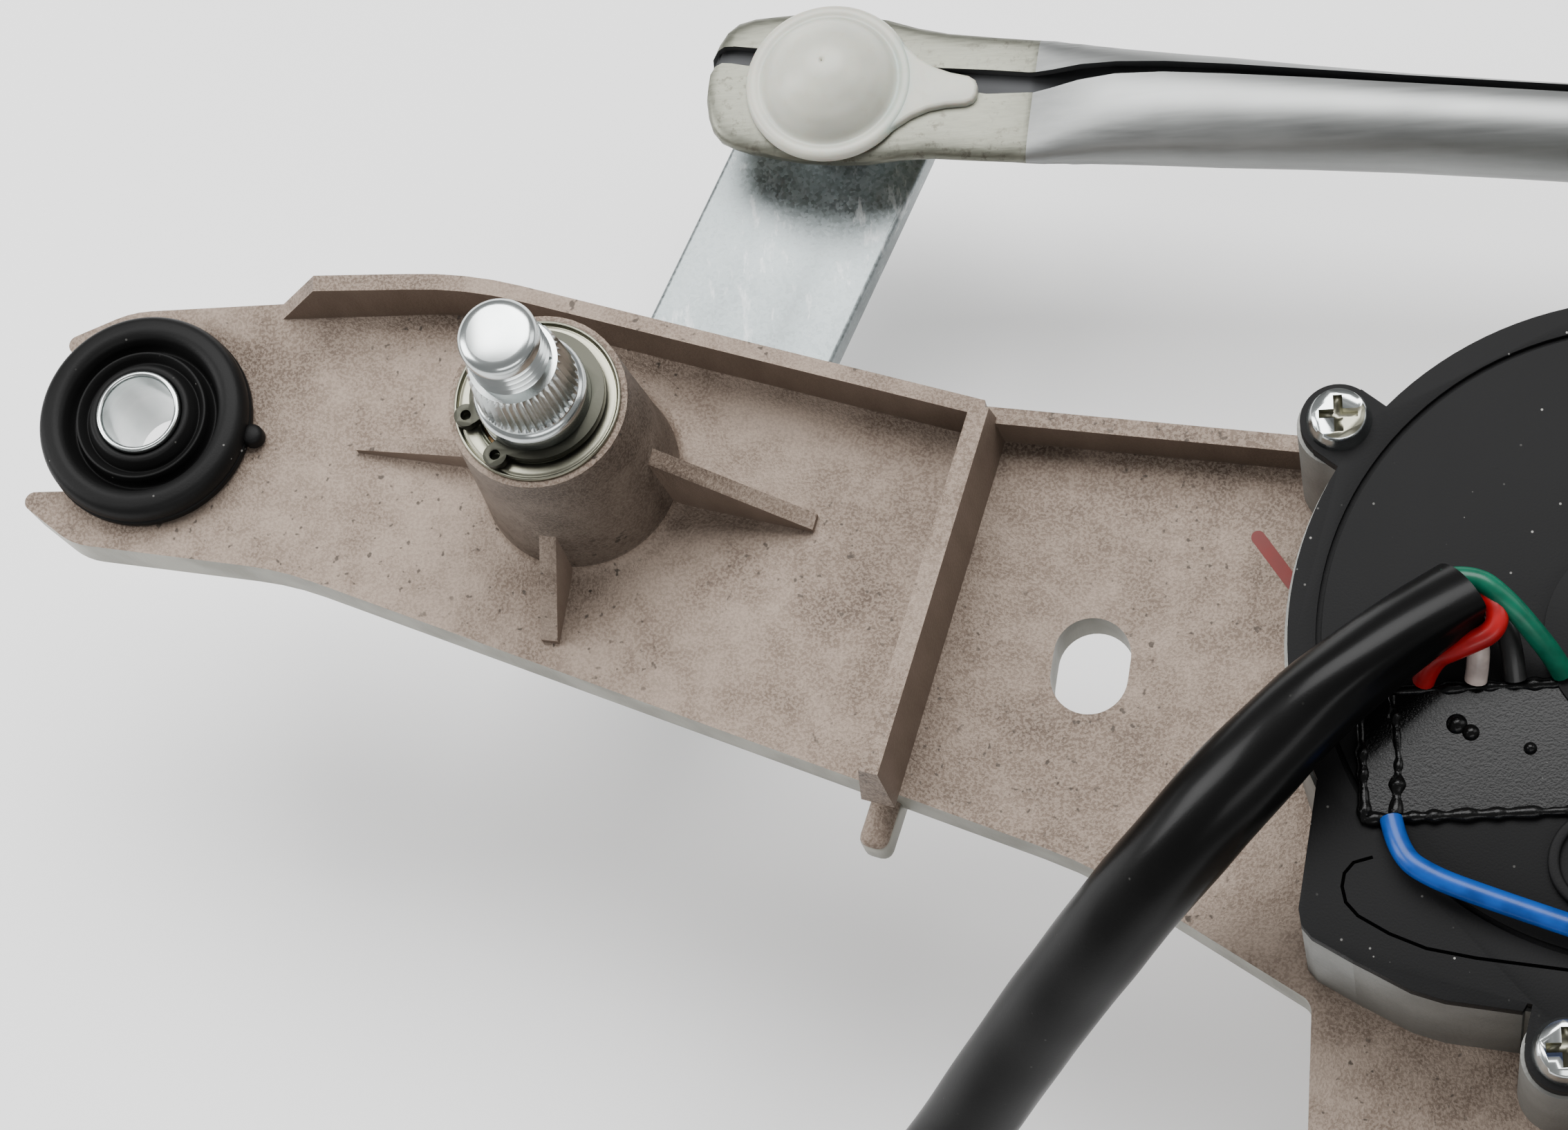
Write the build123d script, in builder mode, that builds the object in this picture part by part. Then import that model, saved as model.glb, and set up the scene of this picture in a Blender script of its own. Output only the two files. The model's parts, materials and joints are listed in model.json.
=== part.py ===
from build123d import *
import math
import os

# Windscreen wiper linkage and motor: a cast aluminium frame with two wiper spindles, pressed-steel
# links between their levers, and a worm-geared motor that drives them. Millimetres. The origin is on
# the axis of the left fixing, at the lower end of its sleeve. +X runs along the frame to the right
# spindle, and +Z runs along the spindles to their threaded tips.

os.makedirs("parts", exist_ok=True)


def cosd(angle):
    return math.cos(math.radians(angle))


def sind(angle):
    return math.sin(math.radians(angle))


def shift(place, dx, dy):
    return (place[0] + dx, place[1] + dy)


def polar(place, radius, angle):
    return (place[0] + radius * cosd(angle), place[1] + radius * sind(angle))


# ---- Driving dimensions ----
RUNNING_GAP = 0.05  # radial play of a shaft in its bush
SOFT_GAP = 0.1  # play round rubber and plastic trim
OPEN_GAP = 0.3  # between bodies that pass each other

# Fixing points: a rubber grommet in an open slot, with a steel sleeve for the bolt
SLEEVE_BORE = 8.8
SLEEVE_WALL = 0.8
SLEEVE_LENGTH = 15.0
GROMMET_DIAMETER = 26.0
GROMMET_NECK = 16.4
GROMMET_INSET = 0.6  # how far the rubber stands back from each end of the sleeve

# Frame casting
PLATE_THICKNESS = 6.0
PLATE_BOTTOM = 4.0
RIB_THICKNESS = 2.0
LEFT_RIB_HEIGHT = 8.0
RIGHT_RIB_HEIGHT = 6.0
CROSS_RIB_HEIGHT = 10.0
BOSS_WALL = 2.25  # round the bushes, at the boss's top
BOSS_FLARE = 1.5  # how much wider the boss's radius is at the plate
BOSS_HEIGHT = 24.5
BOSS_DEPTH = 23.5
SLOT_WIDTH = 8.8
SLOT_LENGTH = 11.4
SLOT_TILT = 80.5

# Places of the axes
LEFT_FIXING = (0.0, 0.0)
LEFT_PIVOT = (53.5, -9.5)
PIVOT_SPACING = 320.0
PIVOT_LINE_ANGLE = -8.0
RIGHT_PIVOT = polar(LEFT_PIVOT, PIVOT_SPACING, PIVOT_LINE_ANGLE)
RIGHT_FIXING = shift(RIGHT_PIVOT, 52.0, 8.0)
MOTOR_AXIS = shift(LEFT_PIVOT, 120.0, -33.0)
LOWER_FIXING = shift(MOTOR_AXIS, -21.0, -88.0)

# Spindles and their fittings
SHAFT_DIAMETER = 13.0
SPIGOT_DIAMETER = SHAFT_DIAMETER - 2.0
THREAD_DIAMETER = 9.0
THREAD_LENGTH = 8.0
KNURL_LENGTH = 7.5
KNURL_TIP_DIAMETER = SHAFT_DIAMETER - 2.2
BUSH_LENGTH = 12.0
BUSH_WALL = 1.5
CUP_WIDTH = 3.05  # from the shaft out to the cup washer's rim
CUP_THICKNESS = 1.6
CIRCLIP_THICKNESS = 1.2
CIRCLIP_WIDTH = 1.2
GROOVE_DEPTH = 0.5

# Levers, balls and sockets
LEVER_LENGTH = 63.5
LEVER_WIDTH = 24.5
LEVER_THICKNESS = 3.5
LEVER_TOP = -21.0
LEVER_ANGLE = 65.3
WIPE_ANGLE = 80.0
DRIVE_ARM_LENGTH = 40.0
BALL_DIAMETER = 14.4
BALL_NECK = 8.0
BALL_RISE = 10.0  # from a lever's face to the centre of its ball
DRIVE_BALL_RISE = 15.5
RIVET_HEAD = 1.4  # of the crank's ball stud; the levers' studs are riveted flush
SOCKET_GAP = 0.1
SOCKET_WALL = 1.6
SOCKET_RIM = 1.8  # how far the flange stands out past the socket's wall
SOCKET_FLANGE_THICKNESS = 2.0

# Pressed links
TUBE_DIAMETER = 12.0
TUBE_WALL = 1.5
TUBE_SEAM = 1.6
LINK_END_THICKNESS = 3.0
LINK_END_WIDTH = 17.0
LINK_EYE_WALL = 1.4  # round the socket's hole
LINK_TAIL = 15.6  # how far the flattened end runs on past the ball
LINK_TAIL_WIDTH = 15.7

# Gearbox and motor
HOUSING_HEIGHT = 20.0
HOUSING_RADIUS = 38.7
HOUSING_FLOOR = 3.0
COVER_THICKNESS = 2.0
COVER_GROOVE_RADIUS = 35.0
HUB_DISC_RADIUS = 11.5
EAR_RADIUS = 4.6
COVER_SCREW_HEAD = 7.2
MOUNT_CIRCLE_RADIUS = 33.0
MOUNT_ANGLES = (15.0, 110.0, 200.0)
MOUNT_SCREW_DIAMETER = 6.0
OUTPUT_DIAMETER = 12.0
NOSE_DIAMETER = 24.0
NOSE_LENGTH = 20.0
WHEEL_RADIUS = 25.0
WHEEL_TEETH = 60
WHEEL_THICKNESS = 10.0
WORM_RADIUS = 5.0
WORM_ANGLE = -15.0
CRANK_THICKNESS = 4.0
CAN_DIAMETER = 58.0
CAN_LENGTH = 75.0
CAN_WALL = 1.5
ARMATURE_SHAFT = 8.0

# Wires and cable
WIRE_DIAMETER = 2.4
CABLE_DIAMETER = 10.4

# ---- Levels and places worked out from them ----
BOSS_BORE = SHAFT_DIAMETER + 2 * BUSH_WALL
BOSS_TOP_DIAMETER = BOSS_BORE + 2 * BOSS_WALL
BOSS_BASE_DIAMETER = BOSS_TOP_DIAMETER + 2 * BOSS_FLARE
CUP_DIAMETER = SHAFT_DIAMETER + 2 * CUP_WIDTH
CIRCLIP_OUTER = SHAFT_DIAMETER / 2 + CIRCLIP_WIDTH
SOCKET_HOLE = BALL_DIAMETER / 2 + SOCKET_GAP + SOCKET_WALL
SOCKET_FLANGE = 2 * (SOCKET_HOLE + SOCKET_RIM)
SOCKET_TONGUE = SOCKET_FLANGE / 2 + 8.2
PLATE_TOP = PLATE_BOTTOM + PLATE_THICKNESS
BOSS_TOP = PLATE_TOP + BOSS_HEIGHT
BOSS_BOTTOM = PLATE_BOTTOM - BOSS_DEPTH
LEVER_BOTTOM = LEVER_TOP - LEVER_THICKNESS
LINK_LEVEL = LEVER_TOP + BALL_RISE
DRIVE_LEVEL = LEVER_BOTTOM - DRIVE_BALL_RISE
HOUSING_TOP = PLATE_TOP + HOUSING_HEIGHT
COVER_TOP = HOUSING_TOP + COVER_THICKNESS
CIRCLIP_BOTTOM = BOSS_TOP + 0.5
COLLAR_TOP = CIRCLIP_BOTTOM + CIRCLIP_THICKNESS + 3.3
KNURL_TOP = COLLAR_TOP + KNURL_LENGTH
TIP_TOP = KNURL_TOP + THREAD_LENGTH
LEFT_BALL = polar(LEFT_PIVOT, LEVER_LENGTH, LEVER_ANGLE)
RIGHT_BALL = polar(RIGHT_PIVOT, LEVER_LENGTH, LEVER_ANGLE)
WHEEL_CENTRE_DISTANCE = WHEEL_RADIUS + WORM_RADIUS + OPEN_GAP
WORM_PLACE = polar(MOTOR_AXIS, WHEEL_CENTRE_DISTANCE, WORM_ANGLE - 90.0)
WORM_LEVEL = PLATE_TOP + HOUSING_HEIGHT / 2

# The crank is as long as half the chord that the drive ball swings through, and that chord's line
# runs through the motor axis, so the drive link is straight in line with the crank at both ends.
CRANK_LENGTH = DRIVE_ARM_LENGTH * sind(WIPE_ANGLE / 2)
MOTOR_REACH = math.dist(MOTOR_AXIS, RIGHT_PIVOT)
MOTOR_BEARING = math.degrees(math.atan2(MOTOR_AXIS[1] - RIGHT_PIVOT[1], MOTOR_AXIS[0] - RIGHT_PIVOT[0]))
CHORD_DISTANCE = DRIVE_ARM_LENGTH * cosd(WIPE_ANGLE / 2)
DRIVE_ARM_MIDDLE = MOTOR_BEARING - math.degrees(math.acos(CHORD_DISTANCE / MOTOR_REACH))
DRIVE_ARM_ANGLE = DRIVE_ARM_MIDDLE - WIPE_ANGLE / 2
DRIVE_BALL = polar(RIGHT_PIVOT, DRIVE_ARM_LENGTH, DRIVE_ARM_ANGLE)
CRANK_ANGLE = math.degrees(math.atan2(DRIVE_BALL[1] - MOTOR_AXIS[1], DRIVE_BALL[0] - MOTOR_AXIS[0]))
CRANK_BALL = polar(MOTOR_AXIS, CRANK_LENGTH, CRANK_ANGLE)


# ---- Planes and axes ----
def level(place, height):
    """The horizontal plane at a height, with its origin over a place."""
    return Plane(origin=(place[0], place[1], height))


def turned(place):
    """The upright plane through a vertical axis, for a half section: radius across, height up."""
    return Plane(origin=(place[0], place[1], 0), x_dir=(1, 0, 0), z_dir=(0, -1, 0))


def spin(place):
    return Axis((place[0], place[1], 0), (0, 0, 1))


def worm_plane(along):
    """The plane square to the worm's axis, with +Y up, this far along from the wheel's side."""
    foot = polar(WORM_PLACE, along, WORM_ANGLE)
    return Plane(
        origin=(foot[0], foot[1], WORM_LEVEL),
        x_dir=(-sind(WORM_ANGLE), cosd(WORM_ANGLE), 0),
        z_dir=(cosd(WORM_ANGLE), sind(WORM_ANGLE), 0),
    )


def worm_side(along, across):
    """A place beside the worm's axis, across being measured towards the wheel."""
    return polar(polar(WORM_PLACE, along, WORM_ANGLE), across, WORM_ANGLE + 90.0)


# ---- Fixings ----
def make_fixing(side, place):
    rubber_bore = SLEEVE_BORE / 2 + SLEEVE_WALL + SOFT_GAP
    rubber_top = SLEEVE_LENGTH - GROMMET_INSET
    outer = GROMMET_DIAMETER / 2
    groove_floor = PLATE_TOP + 1.4
    with BuildPart() as grommet:
        with BuildSketch(turned(place)):
            with BuildLine():
                Polyline(
                    (rubber_bore, GROMMET_INSET),
                    (outer - 1.2, GROMMET_INSET),
                    (outer, GROMMET_INSET + 1.0),
                    (outer, PLATE_BOTTOM),
                    (GROMMET_NECK / 2, PLATE_BOTTOM),
                    (GROMMET_NECK / 2, PLATE_TOP),
                    (outer, PLATE_TOP),
                    (outer, rubber_top - 1.6),
                    (outer - 1.4, rubber_top - 0.4),
                    (outer - 3.4, rubber_top - 0.4),
                    (outer - 4.0, groove_floor),
                    (outer - 5.2, groove_floor),
                    (outer - 5.6, rubber_top - 0.8),
                    (rubber_bore + 0.6, rubber_top),
                    (rubber_bore, rubber_top),
                    close=True,
                )
            make_face()
        revolve(axis=spin(place))
    grommet.part.label = f"fixing_grommet_{side}"
    export_step(grommet.part, f"parts/fixing_grommet_{side}.step")

    with BuildPart() as sleeve:
        with BuildSketch(level(place, 0)):
            Circle(SLEEVE_BORE / 2 + SLEEVE_WALL)
            Circle(SLEEVE_BORE / 2, mode=Mode.SUBTRACT)
        extrude(amount=SLEEVE_LENGTH)
    sleeve.part.label = f"fixing_sleeve_{side}"
    export_step(sleeve.part, f"parts/fixing_sleeve_{side}.step")


# ---- Frame casting ----
# Where the top flange rib starts, bends and ends
RIB_START = shift(LEFT_PIVOT, -37.5, 24.2)
RIB_BEND = shift(LEFT_PIVOT, -13.0, 23.4)
CROSS_RIB_TOP = shift(LEFT_PIVOT, 48.4, 3.4)
RIB_BEHIND_MOTOR = shift(MOTOR_AXIS, 36.0, 19.0)
RIB_END = shift(RIGHT_PIVOT, -46.0, 29.0)
CROSS_RIB_FOOT = shift(LEFT_PIVOT, 34.6, -41.4)

# The casting's outline, anticlockwise from the tip of the left fixing's lower finger: point, radius
OUTLINE = (
    (shift(LEFT_FIXING, -17.5, -7.6), 1.2),
    (shift(LEFT_FIXING, -9.0, -14.6), 8.0),
    (shift(LEFT_PIVOT, -36.5, -9.8), 40.0),
    (shift(MOTOR_AXIS, -61.5, -16.5), 60.0),
    (shift(MOTOR_AXIS, -37.9, -32.8), 2.0),
    (shift(LOWER_FIXING, -19.4, 20.0), 30.0),
    (shift(LOWER_FIXING, -14.6, -9.0), 8.0),
    (shift(LOWER_FIXING, -7.6, -17.0), 1.2),
    (shift(LOWER_FIXING, -8.2, 0.0), 0.0),
)
OUTLINE_AFTER_LOWER_SLOT = (
    (shift(LOWER_FIXING, 8.2, 0.0), 0.0),
    (shift(LOWER_FIXING, 7.6, -17.0), 1.2),
    (shift(LOWER_FIXING, 14.6, -9.0), 8.0),
    (shift(LOWER_FIXING, 17.5, 20.0), 12.0),
    (shift(MOTOR_AXIS, 4.0, -47.0), 12.0),
    (shift(MOTOR_AXIS, 14.0, -9.0), 12.0),
    (shift(MOTOR_AXIS, 32.0, -5.5), 10.0),
    (shift(RIGHT_PIVOT, -70.0, 5.0), 40.0),
    (shift(RIGHT_PIVOT, -24.0, -26.0), 26.0),
    (shift(RIGHT_PIVOT, 18.0, -27.0), 26.0),
    (shift(RIGHT_FIXING, 4.0, -14.6), 10.0),
    (shift(RIGHT_FIXING, 17.0, -7.6), 1.2),
    (shift(RIGHT_FIXING, 0.0, -8.2), 0.0),
)
OUTLINE_AFTER_RIGHT_SLOT = (
    (shift(RIGHT_FIXING, 0.0, 8.2), 0.0),
    (shift(RIGHT_FIXING, 17.0, 7.6), 1.2),
    (shift(RIGHT_FIXING, 5.0, 15.0), 10.0),
    (RIB_END, 30.0),
    (RIB_BEHIND_MOTOR, 60.0),
    (CROSS_RIB_TOP, 20.0),
    (RIB_BEND, 50.0),
    (RIB_START, 6.0),
    (shift(LEFT_FIXING, -3.0, 14.9), 12.0),
    (shift(LEFT_FIXING, -14.2, 10.6), 1.2),
    (shift(LEFT_FIXING, 0.0, 8.2), 0.0),
    (shift(LEFT_FIXING, 0.0, -8.2), 0.0),
)


def make_frame():
    corners = OUTLINE + OUTLINE_AFTER_LOWER_SLOT + OUTLINE_AFTER_RIGHT_SLOT
    with BuildPart() as frame:
        # The plate, with a round pad under the gearbox
        with BuildSketch(Plane.XY.offset(PLATE_BOTTOM)):
            with BuildLine():
                FilletPolyline([point for point, _ in corners], radius=[r for _, r in corners], close=True)
            make_face()
            with Locations(MOTOR_AXIS):
                Circle(HOUSING_RADIUS - 1.5)
            for place in (LEFT_FIXING, RIGHT_FIXING, LOWER_FIXING):
                with Locations(place):
                    Circle(GROMMET_NECK / 2, mode=Mode.SUBTRACT)
        extrude(amount=PLATE_THICKNESS)
        # The flange rib along the upper edge, in its higher and its lower stretch
        add_rib((RIB_START, RIB_BEND, CROSS_RIB_TOP), 50.0, LEFT_RIB_HEIGHT)
        add_rib((CROSS_RIB_TOP, RIB_BEHIND_MOTOR), 0.0, RIGHT_RIB_HEIGHT)
        add_rib((RIB_BEHIND_MOTOR, RIB_END, shift(RIGHT_FIXING, -18.0, 17.4)), 30.0, RIGHT_RIB_HEIGHT)
        # The cross rib, as wide as the flange rib, with its draught
        run = math.dist(CROSS_RIB_TOP, CROSS_RIB_FOOT)
        heading = math.degrees(
            math.atan2(CROSS_RIB_TOP[1] - CROSS_RIB_FOOT[1], CROSS_RIB_TOP[0] - CROSS_RIB_FOOT[0])
        )
        with BuildSketch(Plane.XY.offset(PLATE_TOP)):
            with Locations(CROSS_RIB_FOOT):
                Rectangle(run - 0.6, 2 * RIB_THICKNESS, rotation=heading, align=(Align.MIN, Align.CENTER))
        extrude(amount=CROSS_RIB_HEIGHT, taper=5)
        # The two spindle bosses, tapered above the plate and straight below it
        for place in (LEFT_PIVOT, RIGHT_PIVOT):
            with BuildSketch(level(place, PLATE_TOP)):
                Circle(BOSS_BASE_DIAMETER / 2)
            extrude(amount=BOSS_HEIGHT, taper=math.degrees(
                math.atan2((BOSS_BASE_DIAMETER - BOSS_TOP_DIAMETER) / 2, BOSS_HEIGHT)))
            with BuildSketch(level(place, PLATE_BOTTOM)):
                Circle(BOSS_TOP_DIAMETER / 2)
            extrude(amount=-BOSS_DEPTH)
            add_gussets(place)
        for place in (LEFT_PIVOT, RIGHT_PIVOT):
            with BuildSketch(level(place, BOSS_BOTTOM)):
                Circle(BOSS_BORE / 2)
            extrude(amount=BOSS_TOP - BOSS_BOTTOM, mode=Mode.SUBTRACT)
            with BuildSketch(level(place, BOSS_TOP)):
                Circle(CUP_DIAMETER / 2)
            extrude(amount=-CUP_THICKNESS, mode=Mode.SUBTRACT)
        # The ribs stop short of the gearbox
        with BuildSketch(Plane.XY.offset(PLATE_TOP)):
            gearbox_outline(-0.5)
        extrude(amount=HOUSING_HEIGHT, mode=Mode.SUBTRACT)
        # Holes: the slotted hole, the motor's nose and its three screws
        with BuildSketch(Plane.XY.offset(PLATE_BOTTOM)):
            with Locations(shift(LEFT_PIVOT, 59.0, -26.4)):
                SlotOverall(SLOT_LENGTH, SLOT_WIDTH, rotation=SLOT_TILT)
            with Locations(MOTOR_AXIS):
                Circle(NOSE_DIAMETER / 2 + SOFT_GAP)
            with Locations([polar(MOTOR_AXIS, MOUNT_CIRCLE_RADIUS, angle) for angle in MOUNT_ANGLES]):
                Circle(MOUNT_SCREW_DIAMETER / 2 + 0.3)
        extrude(amount=PLATE_THICKNESS, mode=Mode.SUBTRACT)
    frame.part.label = "frame_casting"
    export_step(frame.part, "parts/frame_casting.step")


def add_rib(line, bend_radius, height):
    """A rib on the plate under a line of the outline, sloped off at its first end if it bends."""
    lower = [shift(point, 0.0, -RIB_THICKNESS) for point in line]
    bends = [bend_radius] * (len(line) - 2)
    with BuildSketch(Plane.XY.offset(PLATE_TOP)) as rib:
        with BuildLine():
            upper_edge = FilletPolyline(line, radius=bends) if len(line) > 2 else Polyline(line)
            lower_edge = FilletPolyline(lower, radius=bends) if len(line) > 2 else Polyline(lower)
            Line(upper_edge @ 0, lower_edge @ 0)
            Line(upper_edge @ 1, lower_edge @ 1)
        make_face()
    extrude(rib.sketch, amount=height)


def add_gussets(place):
    """Three thin webs that stay a boss: their direction, reach from the axis, height at the boss."""
    for angle, reach, height in ((168.8, 27.8, 4.5), (-15.6, 28.7, 13.0), (-99.7, 20.8, 10.5)):
        across = (sind(angle), -cosd(angle), 0)
        web_plane = Plane(origin=(*place, PLATE_TOP), x_dir=(cosd(angle), sind(angle), 0), z_dir=across)
        with BuildSketch(web_plane) as web:
            with BuildLine():
                Polyline(
                    (BOSS_BORE / 2 + 1.0, -1.0),
                    (reach, -1.0),
                    (reach, 1.0),
                    (BOSS_BASE_DIAMETER / 2 - 1.0, height),
                    (BOSS_BORE / 2 + 1.0, height),
                    close=True,
                )
            make_face()
        extrude(web.sketch, amount=RIB_THICKNESS / 2, both=True)


# ---- Spindles ----
def make_bushes(side, place):
    for name, bottom in (
        ("upper", BOSS_TOP - CUP_THICKNESS - BUSH_LENGTH),
        ("lower", BOSS_BOTTOM),
    ):
        with BuildPart() as bush:
            with BuildSketch(level(place, bottom)):
                Circle(BOSS_BORE / 2)
                Circle(SHAFT_DIAMETER / 2 + RUNNING_GAP, mode=Mode.SUBTRACT)
            extrude(amount=BUSH_LENGTH)
        bush.part.label = f"pivot_bush_{side}_{name}"
        export_step(bush.part, f"parts/pivot_bush_{side}_{name}.step")


def make_cup_washer(side, place):
    inner = SHAFT_DIAMETER / 2 + OPEN_GAP
    outer = CUP_DIAMETER / 2
    floor = BOSS_TOP - CUP_THICKNESS
    with BuildPart() as cup:
        with BuildSketch(turned(place)):
            with BuildLine():
                Polyline(
                    (inner, floor),
                    (outer, floor),
                    (outer, BOSS_TOP + 0.5),
                    (outer - 1.0, BOSS_TOP + 0.5),
                    (outer - 1.4, BOSS_TOP - 0.2),
                    (inner, BOSS_TOP - 0.2),
                    close=True,
                )
            make_face()
        revolve(axis=spin(place))
    cup.part.label = f"cup_washer_{side}"
    export_step(cup.part, f"parts/cup_washer_{side}.step")


def make_spindle(side, place):
    shaft = SHAFT_DIAMETER / 2
    spigot = SPIGOT_DIAMETER / 2
    groove = shaft - GROOVE_DEPTH
    tip = THREAD_DIAMETER / 2
    rivet_bottom = LEVER_BOTTOM - 1.8
    with BuildPart() as spindle:
        with BuildSketch(turned(place)):
            with BuildLine():
                Polyline(
                    (0, rivet_bottom),
                    (spigot + 0.6, rivet_bottom),
                    (spigot + 1.4, LEVER_BOTTOM - 0.6),
                    (spigot + 1.4, LEVER_BOTTOM),
                    (spigot, LEVER_BOTTOM),
                    (spigot, LEVER_TOP),
                    (shaft, LEVER_TOP),
                    (shaft, CIRCLIP_BOTTOM),
                    (groove, CIRCLIP_BOTTOM),
                    (groove, CIRCLIP_BOTTOM + CIRCLIP_THICKNESS),
                    (shaft, CIRCLIP_BOTTOM + CIRCLIP_THICKNESS),
                    (shaft, COLLAR_TOP - 0.8),
                    (shaft - 0.6, COLLAR_TOP),
                    (KNURL_TIP_DIAMETER / 2, KNURL_TOP),
                    (tip, KNURL_TOP),
                    (tip, TIP_TOP - 1.2),
                    (tip - 1.2, TIP_TOP),
                    (0, TIP_TOP),
                    close=True,
                )
            make_face()
        revolve(axis=spin(place))
    spindle.part.label = f"spindle_{side}"
    export_step(spindle.part, f"parts/spindle_{side}.step")


def make_circlip(side, place):
    """An external circlip, open between two drilled lugs that point down and to the left."""
    middle = 215.0
    lug_spread = 22.0
    lug_distance = SHAFT_DIAMETER / 2 + 1.5
    with BuildPart() as circlip:
        with BuildSketch(level(place, CIRCLIP_BOTTOM)):
            with Locations((0.25, 0.2)):
                Circle(CIRCLIP_OUTER)
            for angle in (middle - lug_spread, middle + lug_spread):
                with Locations(polar((0, 0), lug_distance, angle)):
                    Circle(1.35)
            Circle(SHAFT_DIAMETER / 2 - GROOVE_DEPTH, mode=Mode.SUBTRACT)
            with Locations(polar((0, 0), lug_distance, middle)):
                Rectangle(7.0, 3.2, rotation=middle, mode=Mode.SUBTRACT)
            for angle in (middle - lug_spread, middle + lug_spread):
                with Locations(polar((0, 0), lug_distance, angle)):
                    Circle(0.6, mode=Mode.SUBTRACT)
        extrude(amount=CIRCLIP_THICKNESS)
    circlip.part.label = f"circlip_{side}"
    export_step(circlip.part, f"parts/circlip_{side}.step")


def make_thrust_washer(side, place):
    with BuildPart() as washer:
        with BuildSketch(level(place, LEVER_TOP)):
            Circle(BOSS_TOP_DIAMETER / 2 - 0.5)
            Circle(SHAFT_DIAMETER / 2, mode=Mode.SUBTRACT)
        extrude(amount=BOSS_BOTTOM - LEVER_TOP - OPEN_GAP)
    washer.part.label = f"thrust_washer_{side}"
    export_step(washer.part, f"parts/thrust_washer_{side}.step")


# ---- Levers and ball studs ----
def make_lever(side, place, drive_ball=None):
    ball = polar(place, LEVER_LENGTH, LEVER_ANGLE)
    with BuildPart() as lever:
        with BuildSketch(Plane.XY.offset(LEVER_BOTTOM)):
            with Locations(polar(place, LEVER_LENGTH / 2, LEVER_ANGLE)):
                SlotCenterToCenter(LEVER_LENGTH, LEVER_WIDTH, rotation=LEVER_ANGLE)
            if drive_ball:
                with Locations(polar(place, DRIVE_ARM_LENGTH / 2, DRIVE_ARM_ANGLE)):
                    SlotCenterToCenter(DRIVE_ARM_LENGTH, LEVER_WIDTH, rotation=DRIVE_ARM_ANGLE)
            with Locations(place):
                Circle(SPIGOT_DIAMETER / 2, mode=Mode.SUBTRACT)
            with Locations(ball):
                Circle(BALL_NECK / 2, mode=Mode.SUBTRACT)
        extrude(amount=LEVER_THICKNESS)
        fillet(lever.edges().group_by(Axis.Z)[-1].filter_by(GeomType.LINE), 0.6)
    lever.part.label = f"lever_{side}"
    export_step(lever.part, f"parts/lever_{side}.step")


def ball_section(centre, seat, away, shank_end):
    """Half section of a ball stud: ball, neck, seat flange and the shank through the lever."""
    neck = BALL_NECK / 2
    radius = BALL_DIAMETER / 2
    below = math.sqrt(radius**2 - neck**2)
    shank = [(neck, shank_end), (neck, seat)] if shank_end != seat else []
    with BuildLine() as outline:
        Polyline(
            (0, centre + away * radius),
            (0, shank_end),
            *shank,
            (neck + 2.0, seat),
            (neck + 2.0, seat + away * 1.2),
            (neck, seat + away * 2.4),
            (neck, centre - away * below),
        )
        ThreePointArc((neck, centre - away * below), (radius, centre), (0, centre + away * radius))
    make_face(outline.edges())


def make_ball_stud(name, place, seat, away, rise, plate, head=0.0):
    """A ball on its riveted stud. away is +1 for a ball above its plate and -1 for one below."""
    with BuildPart() as stud:
        with BuildSketch(turned(place)):
            ball_section(seat + away * rise, seat, away, seat - away * plate)
        revolve(axis=spin(place))
        if head:
            with BuildSketch(level(place, seat - away * plate)):
                Circle(BALL_NECK / 2 + head)
            extrude(amount=-away * head)
    stud.part.label = name
    export_step(stud.part, f"parts/{name}.step")


# ---- Links ----
def make_socket(name, place, centre, away, heading):
    """A nylon socket clipped in the link's eye: dome, flange with a tongue, and a split skirt."""
    inner = BALL_DIAMETER / 2 + SOCKET_GAP
    outer = SOCKET_HOLE
    flange = SOCKET_FLANGE / 2
    mouth = -away * 3.6
    seat = away * LINK_END_THICKNESS / 2
    mouth_radius = math.sqrt(inner**2 - mouth**2)
    rim = seat + away * SOCKET_FLANGE_THICKNESS
    rim_radius = math.sqrt(outer**2 - rim**2)
    with BuildPart() as socket:
        with BuildSketch(turned(place)):
            with BuildLine():
                Polyline(
                    (0, centre + away * inner),
                    (0, centre + away * outer),
                )
                ThreePointArc(
                    (0, centre + away * outer),
                    (outer * sind(30), centre + away * outer * cosd(30)),
                    (rim_radius, centre + rim),
                )
                Polyline(
                    (rim_radius, centre + rim),
                    (flange, centre + rim - away * 0.6),
                    (flange, centre + seat),
                    (outer, centre + seat),
                    (outer, centre + mouth),
                    (mouth_radius, centre + mouth),
                )
                ThreePointArc((mouth_radius, centre + mouth), (inner, centre), (0, centre + away * inner))
            make_face()
        revolve(axis=spin(place))
        tongue_plane = Plane(
            origin=(place[0], place[1], centre + seat), x_dir=(cosd(heading), sind(heading), 0)
        )
        with BuildSketch(tongue_plane):
            with BuildLine():
                FilletPolyline(
                    (flange - 3.0, 5.0),
                    (SOCKET_TONGUE, 1.8),
                    (SOCKET_TONGUE, -1.8),
                    (flange - 3.0, -5.0),
                    radius=[0.0, 1.2, 1.2, 0.0],
                    close=True,
                )
            make_face()
            Circle(outer + 0.2, mode=Mode.SUBTRACT)
        extrude(amount=away * (SOCKET_FLANGE_THICKNESS - 0.6))
    socket.part.label = name
    export_step(socket.part, f"parts/{name}.step")


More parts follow.
